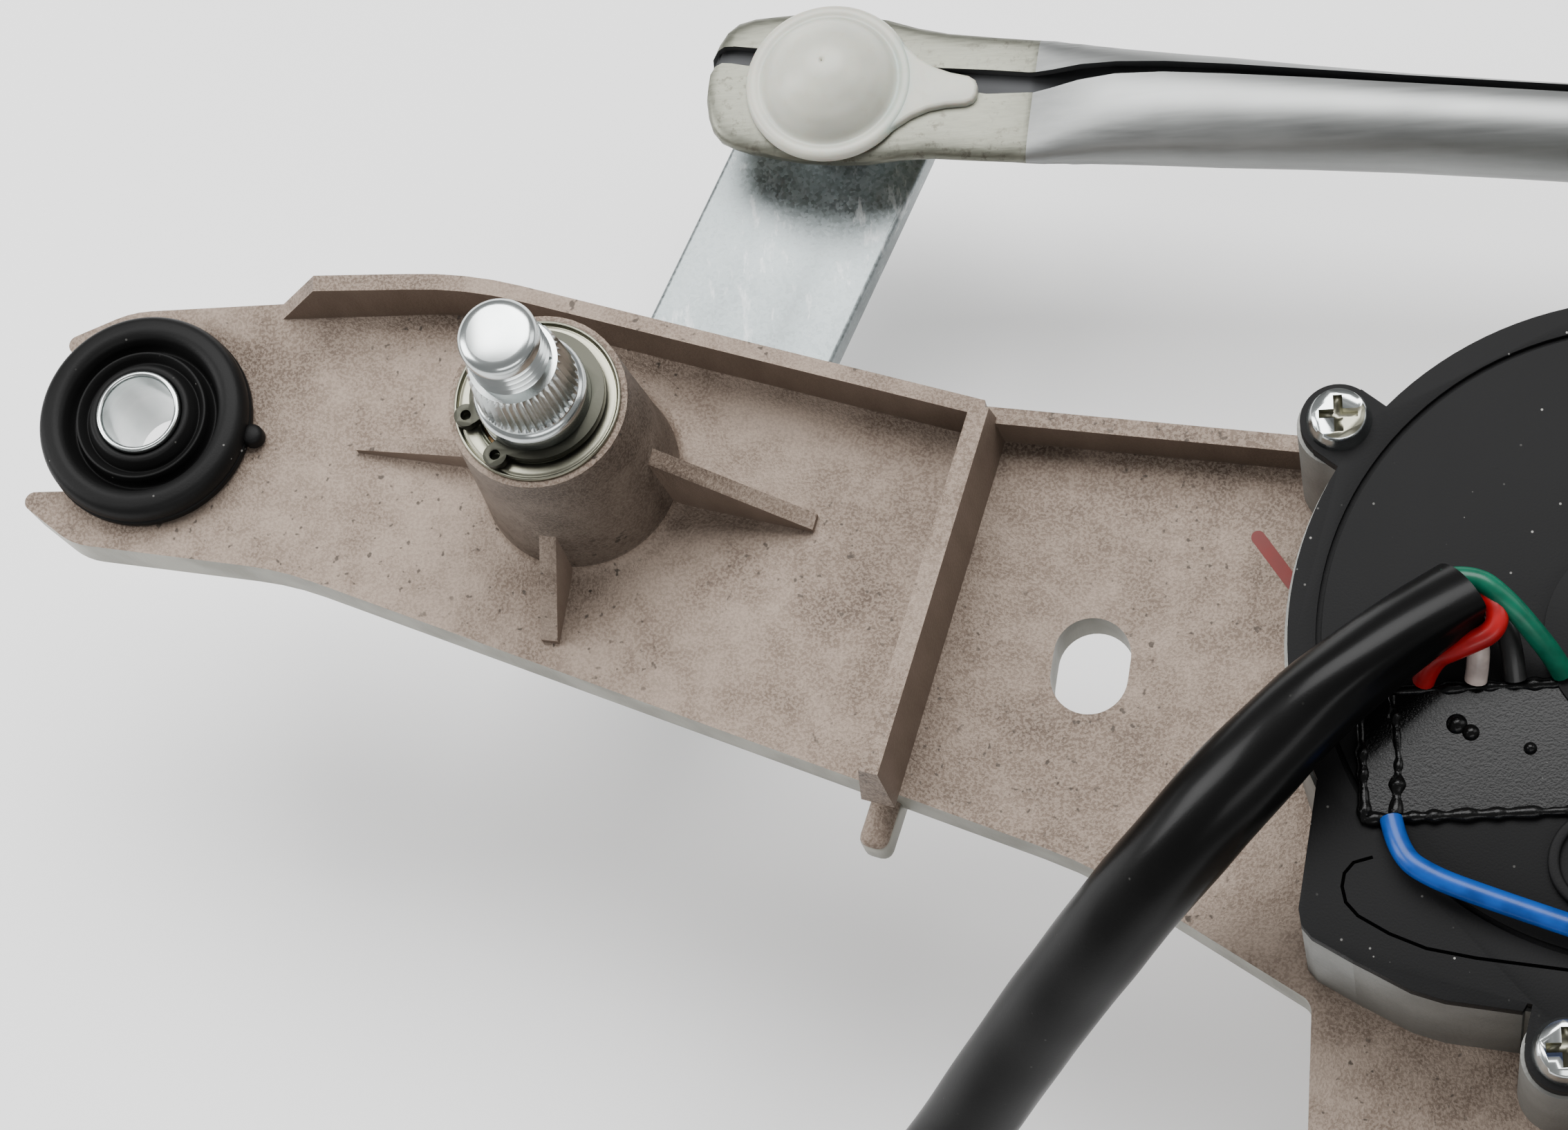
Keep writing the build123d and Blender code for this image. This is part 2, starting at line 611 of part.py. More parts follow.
def make_link(name, start, end, centre, seam_side):
    """A steel tube slit along one side, with both ends pressed flat into eyes for the sockets."""
    span = math.dist(start, end)
    heading = math.degrees(math.atan2(end[1] - start[1], end[0] - start[0]))
    flat_end = 24.0
    round_start = 50.0
    along = (cosd(heading), sind(heading), 0)

    def across(distance):
        foot = polar(start, distance, heading)
        return Plane(origin=(foot[0], foot[1], centre), x_dir=(-along[1], along[0], 0), z_dir=along)

    with BuildPart() as link:
        with BuildSketch(across(round_start)):
            Circle(TUBE_DIAMETER / 2)
        extrude(amount=span - 2 * round_start)
        for flat, round_end in ((flat_end, round_start), (span - flat_end, span - round_start)):
            with BuildSketch(across(flat)):
                RectangleRounded(LINK_END_WIDTH - 0.6, LINK_END_THICKNESS, LINK_END_THICKNESS / 2 - 0.1)
            with BuildSketch(across(round_end)):
                Circle(TUBE_DIAMETER / 2)
            loft()
        for eye, side in ((start, 1), (end, -1)):
            with BuildSketch(level((0, 0), centre - LINK_END_THICKNESS / 2)):
                with Locations(eye):
                    Circle(SOCKET_HOLE + LINK_EYE_WALL)
                with Locations(polar(eye, -side * LINK_TAIL / 2, heading)):
                    RectangleRounded(LINK_TAIL, LINK_TAIL_WIDTH, 4.0, rotation=heading)
                with Locations(polar(eye, side * (flat_end - LINK_TAIL / 2) / 2, heading)):
                    Rectangle(flat_end + LINK_TAIL / 2, LINK_END_WIDTH - 0.6, rotation=heading)
            extrude(amount=LINK_END_THICKNESS)
        with BuildSketch(across(round_start - 2)):
            Circle(TUBE_DIAMETER / 2 - TUBE_WALL)
        extrude(amount=span - 2 * round_start + 4, mode=Mode.SUBTRACT)
        with BuildSketch(across(round_start - 2)):
            with Locations(polar((0, 0), TUBE_DIAMETER / 2, seam_side)):
                Rectangle(2 * TUBE_WALL + 1.0, TUBE_SEAM, rotation=seam_side)
        extrude(amount=span - 2 * round_start + 4, mode=Mode.SUBTRACT)
        with BuildSketch(level((0, 0), centre - LINK_END_THICKNESS / 2)):
            with Locations(start, end):
                Circle(SOCKET_HOLE)
        extrude(amount=LINK_END_THICKNESS, mode=Mode.SUBTRACT)
    link.part.label = name
    export_step(link.part, f"parts/{name}.step")
    return heading


# ---- Gearbox ----
# Cover screws stand in ears round the rim, from the motor axis
EAR_ALONG = 40.4  # along the worm, to the ear beside the motor's can
EAR_CLEARANCE = 2.2  # between that ear and the can
EAR_ACROSS = CAN_DIAMETER / 2 + EAR_RADIUS + EAR_CLEARANCE - WHEEL_CENTRE_DISTANCE
CAN_EAR = polar(polar((0, 0), EAR_ALONG, WORM_ANGLE), EAR_ACROSS, WORM_ANGLE + 90.0)
EARS = ((-31.7, 26.3), (-11.9, -43.5), (29.5, 30.0), CAN_EAR)
BLOCK_HALF_WIDTH = 11.2
BLOCK_START = -26.0
FLANGE_START = HOUSING_RADIUS
FLANGE_THICKNESS = 6.0
EAR_WEB_LENGTH = 12.0
EAR_WEB_WIDTH = 8.6
LOBE = (
    (-35.8, -13.8), (-38.3, -27.6), (-38.1, -29.3), (-37.1, -30.6), (-33.1, -33.1), (-27.2, -36.6),
    (-23.8, -37.8), (-16.0, -39.2), (-10.0, -30.0), (-10.0, -10.0),
)


def gearbox_outline(inset=0.0):
    """The housing seen along the output shaft: wheel case, terminal lobe, worm case and ears."""
    with Locations(MOTOR_AXIS):
        Circle(HOUSING_RADIUS - inset)
    with BuildLine() as lobe:
        Polyline([shift(MOTOR_AXIS, *corner) for corner in LOBE], close=True)
    make_face(lobe.edges())
    with BuildLine() as block:
        Polyline(
            worm_side(BLOCK_START, -BLOCK_HALF_WIDTH + inset),
            worm_side(FLANGE_START, -BLOCK_HALF_WIDTH + inset),
            worm_side(FLANGE_START, BLOCK_HALF_WIDTH - inset),
            worm_side(BLOCK_START, BLOCK_HALF_WIDTH - inset),
            close=True,
        )
    make_face(block.edges())
    for ear in EARS:
        with Locations(shift(MOTOR_AXIS, *ear)):
            Circle(EAR_RADIUS - inset)
        with Locations(shift(MOTOR_AXIS, 0.86 * ear[0], 0.86 * ear[1])):
            Rectangle(EAR_WEB_LENGTH, EAR_WEB_WIDTH, rotation=math.degrees(math.atan2(ear[1], ear[0])))


def make_housing():
    floor = PLATE_TOP + HOUSING_FLOOR
    nose_bottom = PLATE_TOP - NOSE_LENGTH - PLATE_THICKNESS
    with BuildPart() as housing:
        with BuildSketch(Plane.XY.offset(PLATE_TOP)):
            gearbox_outline()
        extrude(amount=HOUSING_HEIGHT)
        with BuildSketch(worm_plane(FLANGE_START)):
            Circle(CAN_DIAMETER / 2)
        extrude(amount=FLANGE_THICKNESS)
        with BuildSketch(level(MOTOR_AXIS, nose_bottom)):
            Circle(NOSE_DIAMETER / 2)
        extrude(amount=floor - nose_bottom)
        # Inside: the wheel's chamber, the worm's tunnel, the shaft's bore and the screw holes
        with BuildSketch(level(MOTOR_AXIS, floor)):
            Circle(WHEEL_RADIUS + 2.0)
        extrude(amount=HOUSING_HEIGHT, mode=Mode.SUBTRACT)
        with BuildSketch(worm_plane(BLOCK_START + 5.0)):
            Circle(WORM_RADIUS + 1.5)
        extrude(amount=FLANGE_START + FLANGE_THICKNESS - BLOCK_START, mode=Mode.SUBTRACT)
        with BuildSketch(level(MOTOR_AXIS, nose_bottom)):
            Circle(OUTPUT_DIAMETER / 2 + 3.0)
        extrude(amount=floor - nose_bottom, mode=Mode.SUBTRACT)
        with BuildSketch(Plane.XY.offset(PLATE_TOP)):
            with Locations([polar(MOTOR_AXIS, MOUNT_CIRCLE_RADIUS, angle) for angle in MOUNT_ANGLES]):
                Circle(MOUNT_SCREW_DIAMETER / 2)
        extrude(amount=12.0, mode=Mode.SUBTRACT)
        with BuildSketch(Plane.XY.offset(HOUSING_TOP)):
            with Locations([shift(MOTOR_AXIS, *ear) for ear in EARS]):
                Circle(2.0)
        extrude(amount=-10.0, mode=Mode.SUBTRACT)
    housing.part.label = "gearbox_housing"
    export_step(housing.part, "parts/gearbox_housing.step")


def make_cover():
    with BuildPart() as cover:
        with BuildSketch(Plane.XY.offset(HOUSING_TOP)):
            gearbox_outline(0.4)
        extrude(amount=COVER_THICKNESS)
        with BuildSketch(level(MOTOR_AXIS, COVER_TOP)):
            Circle(COVER_GROOVE_RADIUS + 0.3)
            Circle(COVER_GROOVE_RADIUS - 0.3, mode=Mode.SUBTRACT)
        extrude(amount=-0.6, mode=Mode.SUBTRACT)
        with BuildSketch(level(MOTOR_AXIS, COVER_TOP)):
            Circle(HUB_DISC_RADIUS)
        extrude(amount=1.0)
        with BuildSketch(Plane.XY.offset(HOUSING_TOP)):
            with Locations([shift(MOTOR_AXIS, *ear) for ear in EARS]):
                Circle(2.2)
        extrude(amount=COVER_THICKNESS, mode=Mode.SUBTRACT)
    cover.part.label = "gearbox_cover"
    export_step(cover.part, "parts/gearbox_cover.step")


def make_cover_screws():
    with BuildPart() as screws:
        for ear in EARS:
            place = shift(MOTOR_AXIS, *ear)
            with BuildSketch(level(place, COVER_TOP - COVER_THICKNESS - 8.0)):
                Circle(1.9)
            extrude(amount=8.0 + COVER_THICKNESS)
            with BuildSketch(level(place, COVER_TOP)):
                Circle(COVER_SCREW_HEAD / 2)
            extrude(amount=2.2, taper=18)
            with BuildSketch(level(place, COVER_TOP + 2.2)):
                Rectangle(4.2, 1.0)
                Rectangle(1.0, 4.2)
            extrude(amount=-1.3, mode=Mode.SUBTRACT)
    screws.part.label = "cover_screws"
    export_step(screws.part, "parts/cover_screws.step")


def make_mount_screws():
    head = 10.0
    with BuildPart() as screws:
        for angle in MOUNT_ANGLES:
            place = polar(MOTOR_AXIS, MOUNT_CIRCLE_RADIUS, angle)
            with BuildSketch(level(place, PLATE_BOTTOM)):
                Circle(MOUNT_SCREW_DIAMETER / 2 - SOFT_GAP)
            extrude(amount=PLATE_THICKNESS + 10.0)
            with BuildSketch(level(place, PLATE_BOTTOM)):
                Circle(head / 2 + 1.2)
            extrude(amount=-1.2)
            with BuildSketch(level(place, PLATE_BOTTOM - 1.2)):
                RegularPolygon(head / 2, 6, major_radius=False)
            extrude(amount=-4.0)
    screws.part.label = "motor_mount_screws"
    export_step(screws.part, "parts/motor_mount_screws.step")


def make_potting():
    """Sealing compound over the terminals, in a rectangle beside the hub disc."""
    with BuildPart() as potting:
        with BuildSketch(Plane.XY.offset(COVER_TOP)):
            with Locations(shift(MOTOR_AXIS, -17.2, -11.25)):
                RectangleRounded(29.6, 16.1, 1.5)
            with Locations(MOTOR_AXIS):
                Circle(HUB_DISC_RADIUS, mode=Mode.SUBTRACT)
        extrude(amount=1.4)
    potting.part.label = "terminal_potting"
    export_step(potting.part, "parts/terminal_potting.step")


def make_output():
    nose_bottom = PLATE_TOP - NOSE_LENGTH - PLATE_THICKNESS
    shaft = OUTPUT_DIAMETER / 2
    wheel_bottom = WORM_LEVEL - WHEEL_THICKNESS / 2
    nut_height = 5.5
    with BuildPart() as bush:
        with BuildSketch(level(MOTOR_AXIS, nose_bottom)):
            Circle(shaft + 3.0)
            Circle(shaft + RUNNING_GAP, mode=Mode.SUBTRACT)
        extrude(amount=PLATE_TOP + HOUSING_FLOOR - nose_bottom - 0.5)
    bush.part.label = "output_bush"
    export_step(bush.part, "parts/output_bush.step")

    with BuildPart() as output:
        with BuildSketch(turned(MOTOR_AXIS)):
            with BuildLine():
                Polyline(
                    (0, LEVER_BOTTOM - nut_height - 1.0),
                    (THREAD_DIAMETER / 2, LEVER_BOTTOM - nut_height - 1.0),
                    (THREAD_DIAMETER / 2, LEVER_BOTTOM),
                    (SPIGOT_DIAMETER / 2, LEVER_BOTTOM),
                    (SPIGOT_DIAMETER / 2, LEVER_BOTTOM + CRANK_THICKNESS),
                    (shaft, LEVER_BOTTOM + CRANK_THICKNESS),
                    (shaft, WORM_LEVEL + WHEEL_THICKNESS / 2),
                    (0, WORM_LEVEL + WHEEL_THICKNESS / 2),
                    close=True,
                )
            make_face()
        revolve(axis=spin(MOTOR_AXIS))
    output.part.label = "output_shaft"
    export_step(output.part, "parts/output_shaft.step")

    with BuildPart() as wheel:
        with BuildSketch(level(MOTOR_AXIS, wheel_bottom)):
            Circle(WHEEL_RADIUS)
            Circle(shaft, mode=Mode.SUBTRACT)
            with PolarLocations(WHEEL_RADIUS, WHEEL_TEETH):
                Rectangle(3.0, 1.2, mode=Mode.SUBTRACT)
        extrude(amount=WHEEL_THICKNESS)
        with BuildSketch(level(MOTOR_AXIS, wheel_bottom + WHEEL_THICKNESS)):
            Circle(WHEEL_RADIUS - 4.5)
            Circle(shaft + 4.0, mode=Mode.SUBTRACT)
        extrude(amount=-3.0, mode=Mode.SUBTRACT)
    wheel.part.label = "worm_wheel"
    export_step(wheel.part, "parts/worm_wheel.step")

    with BuildPart() as crank:
        with BuildSketch(Plane.XY.offset(LEVER_BOTTOM)):
            with Locations(polar(MOTOR_AXIS, CRANK_LENGTH / 2, CRANK_ANGLE)):
                SlotCenterToCenter(CRANK_LENGTH, LEVER_WIDTH, rotation=CRANK_ANGLE)
            with Locations(MOTOR_AXIS):
                Circle(SPIGOT_DIAMETER / 2, mode=Mode.SUBTRACT)
            with Locations(CRANK_BALL):
                Circle(BALL_NECK / 2, mode=Mode.SUBTRACT)
        extrude(amount=CRANK_THICKNESS)
    crank.part.label = "crank_arm"
    export_step(crank.part, "parts/crank_arm.step")

    with BuildPart() as nut:
        with BuildSketch(level(MOTOR_AXIS, LEVER_BOTTOM)):
            RegularPolygon(6.5, 6, major_radius=False)
            Circle(THREAD_DIAMETER / 2, mode=Mode.SUBTRACT)
        extrude(amount=-nut_height)
    nut.part.label = "crank_nut"
    export_step(nut.part, "parts/crank_nut.step")


# ---- Motor ----
CAN_START = FLANGE_START + FLANGE_THICKNESS
CAN_END = CAN_START + CAN_LENGTH
BRUSH_LEVEL = CAN_START + 4.0
CORE_START = CAN_START + 20.0
CORE_LENGTH = 34.0
MAGNET_THICKNESS = 6.0


def make_motor():
    can = CAN_DIAMETER / 2 - 1.0
    shaft = ARMATURE_SHAFT / 2
    with BuildPart() as shell:
        with BuildSketch(worm_plane(CAN_START)):
            Circle(can)
        extrude(amount=CAN_LENGTH)
        fillet(shell.faces().sort_by(Axis(worm_plane(0).origin, worm_plane(0).z_dir))[-1].edges(), 5.0)
        with BuildSketch(worm_plane(CAN_END - 1.0)):
            Circle(shaft + 6.0)
        extrude(amount=6.0)
        with BuildSketch(worm_plane(CAN_START)):
            Circle(can - CAN_WALL)
        extrude(amount=CAN_LENGTH - 5.0, mode=Mode.SUBTRACT)
        with BuildSketch(worm_plane(CAN_END - 5.0)):
            Circle(shaft + 4.0)
        extrude(amount=8.0, mode=Mode.SUBTRACT)
    shell.part.label = "motor_can"
    export_step(shell.part, "parts/motor_can.step")

    with BuildPart() as magnets:
        with BuildSketch(worm_plane(CORE_START - 3.0)):
            Circle(can - CAN_WALL)
            Circle(can - CAN_WALL - MAGNET_THICKNESS, mode=Mode.SUBTRACT)
            Rectangle(2 * can, 24.0, mode=Mode.SUBTRACT)
        extrude(amount=CORE_LENGTH + 6.0)
    magnets.part.label = "motor_magnets"
    export_step(magnets.part, "parts/motor_magnets.step")

    with BuildPart() as bearing:
        with BuildSketch(worm_plane(CAN_END - 5.0)):
            Circle(shaft + 4.0)
            Circle(shaft + RUNNING_GAP, mode=Mode.SUBTRACT)
        extrude(amount=7.0)
    bearing.part.label = "motor_end_bearing"
    export_step(bearing.part, "parts/motor_end_bearing.step")

    with BuildPart() as front_bearing:
        with BuildSketch(worm_plane(CAN_START - 8.0)):
            Circle(WORM_RADIUS + 1.5)
            Circle(shaft + RUNNING_GAP, mode=Mode.SUBTRACT)
        extrude(amount=7.0)
    front_bearing.part.label = "motor_front_bearing"
    export_step(front_bearing.part, "parts/motor_front_bearing.step")

    with BuildPart() as holder:
        with BuildSketch(worm_plane(BRUSH_LEVEL)):
            Circle(can - CAN_WALL)
            Circle(12.0, mode=Mode.SUBTRACT)
        extrude(amount=2.5)
    holder.part.label = "brush_holder"
    export_step(holder.part, "parts/brush_holder.step")

    commutator = 9.0
    with BuildPart() as brushes:
        with BuildSketch(worm_plane(BRUSH_LEVEL + 2.5)):
            with Locations((0, commutator + OPEN_GAP + 4.5), (0, -commutator - OPEN_GAP - 4.5)):
                Rectangle(5.0, 9.0)
        extrude(amount=7.0)
    brushes.part.label = "carbon_brushes"
    export_step(brushes.part, "parts/carbon_brushes.step")

    with BuildPart() as rotor_shaft:
        with BuildSketch(worm_plane(BLOCK_START + 6.0)):
            Circle(shaft)
        extrude(amount=CAN_END + 1.0 - BLOCK_START - 6.0)
        worm_pitch = 2 * math.pi * WHEEL_RADIUS / WHEEL_TEETH
        for turn in range(9):
            with BuildSketch(worm_plane((turn - 4) * worm_pitch - worm_pitch / 4)):
                Circle(WORM_RADIUS)
            extrude(amount=worm_pitch / 2)
    rotor_shaft.part.label = "armature_shaft"
    export_step(rotor_shaft.part, "parts/armature_shaft.step")

    core_radius = can - CAN_WALL - MAGNET_THICKNESS - 0.8
    with BuildPart() as core:
        with BuildSketch(worm_plane(CORE_START)):
            Circle(core_radius)
            Circle(shaft, mode=Mode.SUBTRACT)
            with PolarLocations(core_radius, 12):
                Rectangle(9.0, 2.4, mode=Mode.SUBTRACT)
        extrude(amount=CORE_LENGTH)
    core.part.label = "armature_core"
    export_step(core.part, "parts/armature_core.step")

    with BuildPart() as windings:
        for start in (CORE_START - 4.0, CORE_START + CORE_LENGTH):
            with BuildSketch(worm_plane(start)):
                Circle(core_radius - 2.5)
                Circle(shaft, mode=Mode.SUBTRACT)
            extrude(amount=4.0)
    windings.part.label = "armature_windings"
    export_step(windings.part, "parts/armature_windings.step")

    with BuildPart() as segments:
        with BuildSketch(worm_plane(BRUSH_LEVEL)):
            Circle(commutator)
            Circle(shaft, mode=Mode.SUBTRACT)
            with PolarLocations(commutator, 12):
                Rectangle(1.6, 0.6, mode=Mode.SUBTRACT)
        extrude(amount=11.0)
    segments.part.label = "commutator"
    export_step(segments.part, "parts/commutator.step")


# ---- Wires and cable ----
def run_arcs(points, tight=0.45):
    """The arc radius at each corner that takes up the given share of its shorter run."""
    radii = []
    for before, corner, after in zip(points, points[1:], points[2:]):
        first = Vector(*corner) - Vector(*before)
        second = Vector(*after) - Vector(*corner)
        turn = math.radians(first.get_angle(second))
        radii.append(tight * min(first.length, second.length) / math.tan(turn / 2))
    return radii


def make_tube(name, points, diameter):
    """A cord's plain tube: straight runs joined by tangent arcs."""
    radii = run_arcs(points)
    with BuildPart() as tube:
        with BuildLine() as route:
            FilletPolyline(points, radius=radii)
        line = route.wires()[0]
        with BuildSketch(Plane(origin=line @ 0, z_dir=line % 0)):
            Circle(diameter / 2)
        sweep(path=line)
    expected = math.pi * diameter**2 / 4 * line.length
    print(name, "length", round(line.length, 1), "radii", [round(r, 1) for r in radii],
          "volume / expected", round(tube.part.volume / expected, 4))
    tube.part.label = name
    export_step(tube.part, f"parts/{name}.step")


# The cable lies over the cover, drops past the frame's lower edge and ends on the floor
FLOOR = DRIVE_LEVEL - BALL_DIAMETER / 2 - SOCKET_GAP - SOCKET_WALL - 0.3
CABLE = (
    (153.7, -39.0, 39.4),
    (142.4, -46.4, 41.4),
    (130.4, -56.9, 38.2),
    (119.4, -65.5, 27.4),
    (109.6, -72.4, 13.0),
    (100.4, -79.6, -2.0),
    (91.2, -87.4, -16.0),
    (79.4, -97.2, -28.2),
    (65.0, -107.8, -37.4),
    (48.2, -117.2, -42.4),
    (29.8, -122.6, FLOOR + CABLE_DIAMETER / 2),
)
WIRES = {
    "wire_red": (
        (153.4, -38.4, 39.4),
        (156.8, -39.3, 40.6),
        (157.4, -43.2, 40.0),
        (153.4, -44.6, 39.0),
        (150.2, -44.9, 36.4),
        (149.3, -46.4, 33.2),
    ),
    "wire_green": (
        (151.6, -38.2, 41.4),
        (155.8, -35.9, 41.8),
        (160.1, -40.0, 41.0),
        (161.6, -44.0, 37.8),
        (162.5, -46.4, 33.2),
    ),
    "wire_grey": (
        (152.8, -40.6, 36.8),
        (155.0, -42.2, 36.5),
        (155.2, -44.6, 35.4),
        (154.7, -46.6, 33.2),
    ),
    "wire_black": (
        (153.4, -37.4, 36.8),
        (157.4, -39.6, 36.6),
        (158.6, -43.6, 35.6),
        (158.8, -46.6, 33.2),
    ),
    "wire_blue": (
        (145.2, -61.2, 33.3),
        (145.8, -65.4, 34.3),
        (149.2, -68.0, 34.6),
        (154.6, -70.3, 34.6),
        (162.6, -73.5, 34.6),
        (172.0, -77.2, 34.8),
        (181.0, -80.4, 34.6),
        (189.0, -82.6, 34.4),
        (196.6, -84.8, 34.4),
    ),
}


def make_connector():
    """The plug on the cable's far end: a body with six terminal holes and a latch on top."""
    tail = CABLE[-1]
    length = 24.0
    with BuildPart() as plug:
        with BuildSketch(Plane(origin=tail, x_dir=(0, 1, 0), z_dir=(-1, 0, 0))):
            RectangleRounded(22.0, CABLE_DIAMETER, 1.5)
        extrude(amount=length)
        with BuildSketch(Plane(origin=(tail[0] - 10.0, tail[1], tail[2] + CABLE_DIAMETER / 2))):
            Rectangle(14.0, 7.0)
        extrude(amount=2.0)
        with BuildSketch(Plane(origin=(tail[0] - length, *tail[1:]), x_dir=(0, 1, 0), z_dir=(-1, 0, 0))):
            with GridLocations(5.6, 4.4, 3, 2):
                Rectangle(2.4, 2.4)
        extrude(amount=-5.0, mode=Mode.SUBTRACT)
    plug.part.label = "cable_connector"
    export_step(plug.part, "parts/cable_connector.step")


def main():
    make_frame()
    for side, place in (("left", LEFT_FIXING), ("right", RIGHT_FIXING), ("lower", LOWER_FIXING)):
        make_fixing(side, place)
    for side, place in (("left", LEFT_PIVOT), ("right", RIGHT_PIVOT)):
        make_bushes(side, place)
        make_cup_washer(side, place)
        make_spindle(side, place)
        make_circlip(side, place)
        make_thrust_washer(side, place)
    make_lever("left", LEFT_PIVOT)
    make_lever("right", RIGHT_PIVOT, DRIVE_BALL)
    make_ball_stud("ball_stud_left", LEFT_BALL, LEVER_TOP, 1, BALL_RISE, LEVER_THICKNESS)
    make_ball_stud("ball_stud_right", RIGHT_BALL, LEVER_TOP, 1, BALL_RISE, LEVER_THICKNESS)
    make_ball_stud(
        "ball_stud_crank", CRANK_BALL, LEVER_BOTTOM, -1, DRIVE_BALL_RISE, CRANK_THICKNESS, RIVET_HEAD
    )
    make_ball_stud(
        "ball_stud_drive", DRIVE_BALL, LEVER_BOTTOM - OPEN_GAP, -1, DRIVE_BALL_RISE - OPEN_GAP, 0.0
    )
    heading = make_link("connecting_link", LEFT_BALL, RIGHT_BALL, LINK_LEVEL, 50.0)
    make_socket("link_socket_left", LEFT_BALL, LINK_LEVEL, 1, heading)
    make_socket("link_socket_right", RIGHT_BALL, LINK_LEVEL, 1, heading + 180.0)
    heading = make_link("drive_link", CRANK_BALL, DRIVE_BALL, DRIVE_LEVEL, 50.0)
    make_socket("drive_socket_crank", CRANK_BALL, DRIVE_LEVEL, -1, heading)
    make_socket("drive_socket_lever", DRIVE_BALL, DRIVE_LEVEL, -1, heading + 180.0)
    make_housing()
    make_cover()
    make_cover_screws()
    make_mount_screws()
    make_potting()
    make_output()
    make_motor()
    make_tube("cable_sleeve", CABLE, CABLE_DIAMETER)
    for name, points in WIRES.items():
        make_tube(name, points, WIRE_DIAMETER)
    make_connector()


main()
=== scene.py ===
# %% [markdown]
# # A windscreen wiper linkage
# This lesson dresses a finished CAD model of a wiper linkage. The design, the joints and the fits are
# settled before Blender starts, so the script loads them as a fixed frame and builds its looks round
# them: rounded castings, knurled and threaded spindles, pressed tube, moulded rubber and wires.

# %% Load the frame
import json
import math

import bmesh
import bpy
from mathutils import Matrix, Vector, noise


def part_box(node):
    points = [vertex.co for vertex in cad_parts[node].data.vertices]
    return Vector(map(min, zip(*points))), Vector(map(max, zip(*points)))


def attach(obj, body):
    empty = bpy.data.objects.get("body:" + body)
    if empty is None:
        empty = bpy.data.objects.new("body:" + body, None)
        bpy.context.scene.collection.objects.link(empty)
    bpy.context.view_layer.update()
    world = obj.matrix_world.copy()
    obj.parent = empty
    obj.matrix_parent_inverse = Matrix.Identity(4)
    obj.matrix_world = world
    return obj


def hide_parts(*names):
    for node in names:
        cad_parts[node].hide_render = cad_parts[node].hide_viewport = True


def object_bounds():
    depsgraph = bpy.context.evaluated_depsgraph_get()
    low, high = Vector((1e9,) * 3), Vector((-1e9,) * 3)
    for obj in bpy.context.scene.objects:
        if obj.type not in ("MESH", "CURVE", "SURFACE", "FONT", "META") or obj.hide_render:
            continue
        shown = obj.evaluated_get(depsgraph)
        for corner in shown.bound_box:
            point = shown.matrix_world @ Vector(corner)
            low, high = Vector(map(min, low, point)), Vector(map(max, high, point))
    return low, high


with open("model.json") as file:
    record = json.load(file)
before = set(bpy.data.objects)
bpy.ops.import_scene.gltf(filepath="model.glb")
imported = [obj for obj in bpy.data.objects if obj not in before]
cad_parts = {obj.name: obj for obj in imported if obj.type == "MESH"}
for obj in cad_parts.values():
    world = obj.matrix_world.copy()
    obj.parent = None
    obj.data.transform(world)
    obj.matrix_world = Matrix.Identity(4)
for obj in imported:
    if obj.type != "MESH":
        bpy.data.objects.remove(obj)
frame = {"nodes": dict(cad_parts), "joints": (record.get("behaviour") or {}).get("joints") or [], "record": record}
nodes = frame["nodes"]
cad_low, cad_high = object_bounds()
MM = 0.001
print("CAD box in mm", [round(v / MM, 1) for v in (*cad_low, *cad_high)])

# %% [markdown]
# ## Places
# Every place comes from the frame: the joints give the axes of the spindles and of the crank, and the
# nodes' boxes give levels. A piece that is built here then lands where the CAD piece was.

# %% Places taken from the joints and nodes
joint_places = {joint["name"]: Vector(joint["pos_m"]) for joint in frame["joints"]}


def middle(node):
    low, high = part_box(node)
    return (low + high) / 2


def flat(place, height=0.0):
    """The point at a height, in metres, over or under a place."""
    return Vector((place.x, place.y, height))


LEFT_PIVOT = flat(joint_places["left_wipe"])
RIGHT_PIVOT = flat(joint_places["right_wipe"])
MOTOR_AXIS = flat(joint_places["crank_turn"])
print("left spindle at", LEFT_PIVOT / MM, "motor axis at", MOTOR_AXIS / MM)

# %% [markdown]
# ## Camera, floor and light
# The camera looks down on the left half of the linkage from in front, through a long lens, so that
# the plate keeps its true shape. A pale floor and large soft lamps stand in for a light tent: metal
# needs broad bright surfaces to reflect, with a few darker gaps that draw its edges.

# %% Camera
CAMERA_PLACE = Vector((0.14586, -0.16462, 0.42876))
VIEW_DIRECTION = Vector((-0.1530, 0.3187, -0.9354)).normalized()
PICTURE_ACROSS = Vector((0.98689, 0.0, -0.1614))

camera_data = bpy.data.cameras.new("camera")
camera_data.lens = 88.9
camera_data.sensor_width = 36.0
camera_data.clip_start = 0.01
camera = bpy.data.objects.new("camera", camera_data)
bpy.context.scene.collection.objects.link(camera)
bpy.context.scene.camera = camera
camera_right = PICTURE_ACROSS - VIEW_DIRECTION * PICTURE_ACROSS.dot(VIEW_DIRECTION)
camera_right.normalize()
camera_up = camera_right.cross(VIEW_DIRECTION)
camera_turn = Matrix((camera_right, camera_up, -VIEW_DIRECTION)).transposed().to_4x4()
camera.matrix_world = Matrix.Translation(CAMERA_PLACE) @ camera_turn
print("camera at", [round(v, 3) for v in CAMERA_PLACE], "in metres")

# %% [markdown]
# ## Building a finish out of nodes
# A material is a formula over the surface. `Term` wraps one socket, so that a formula can be written
# with + - * like any other, and `Finish.add` makes every other node. Constant values are set on the
# shader itself.


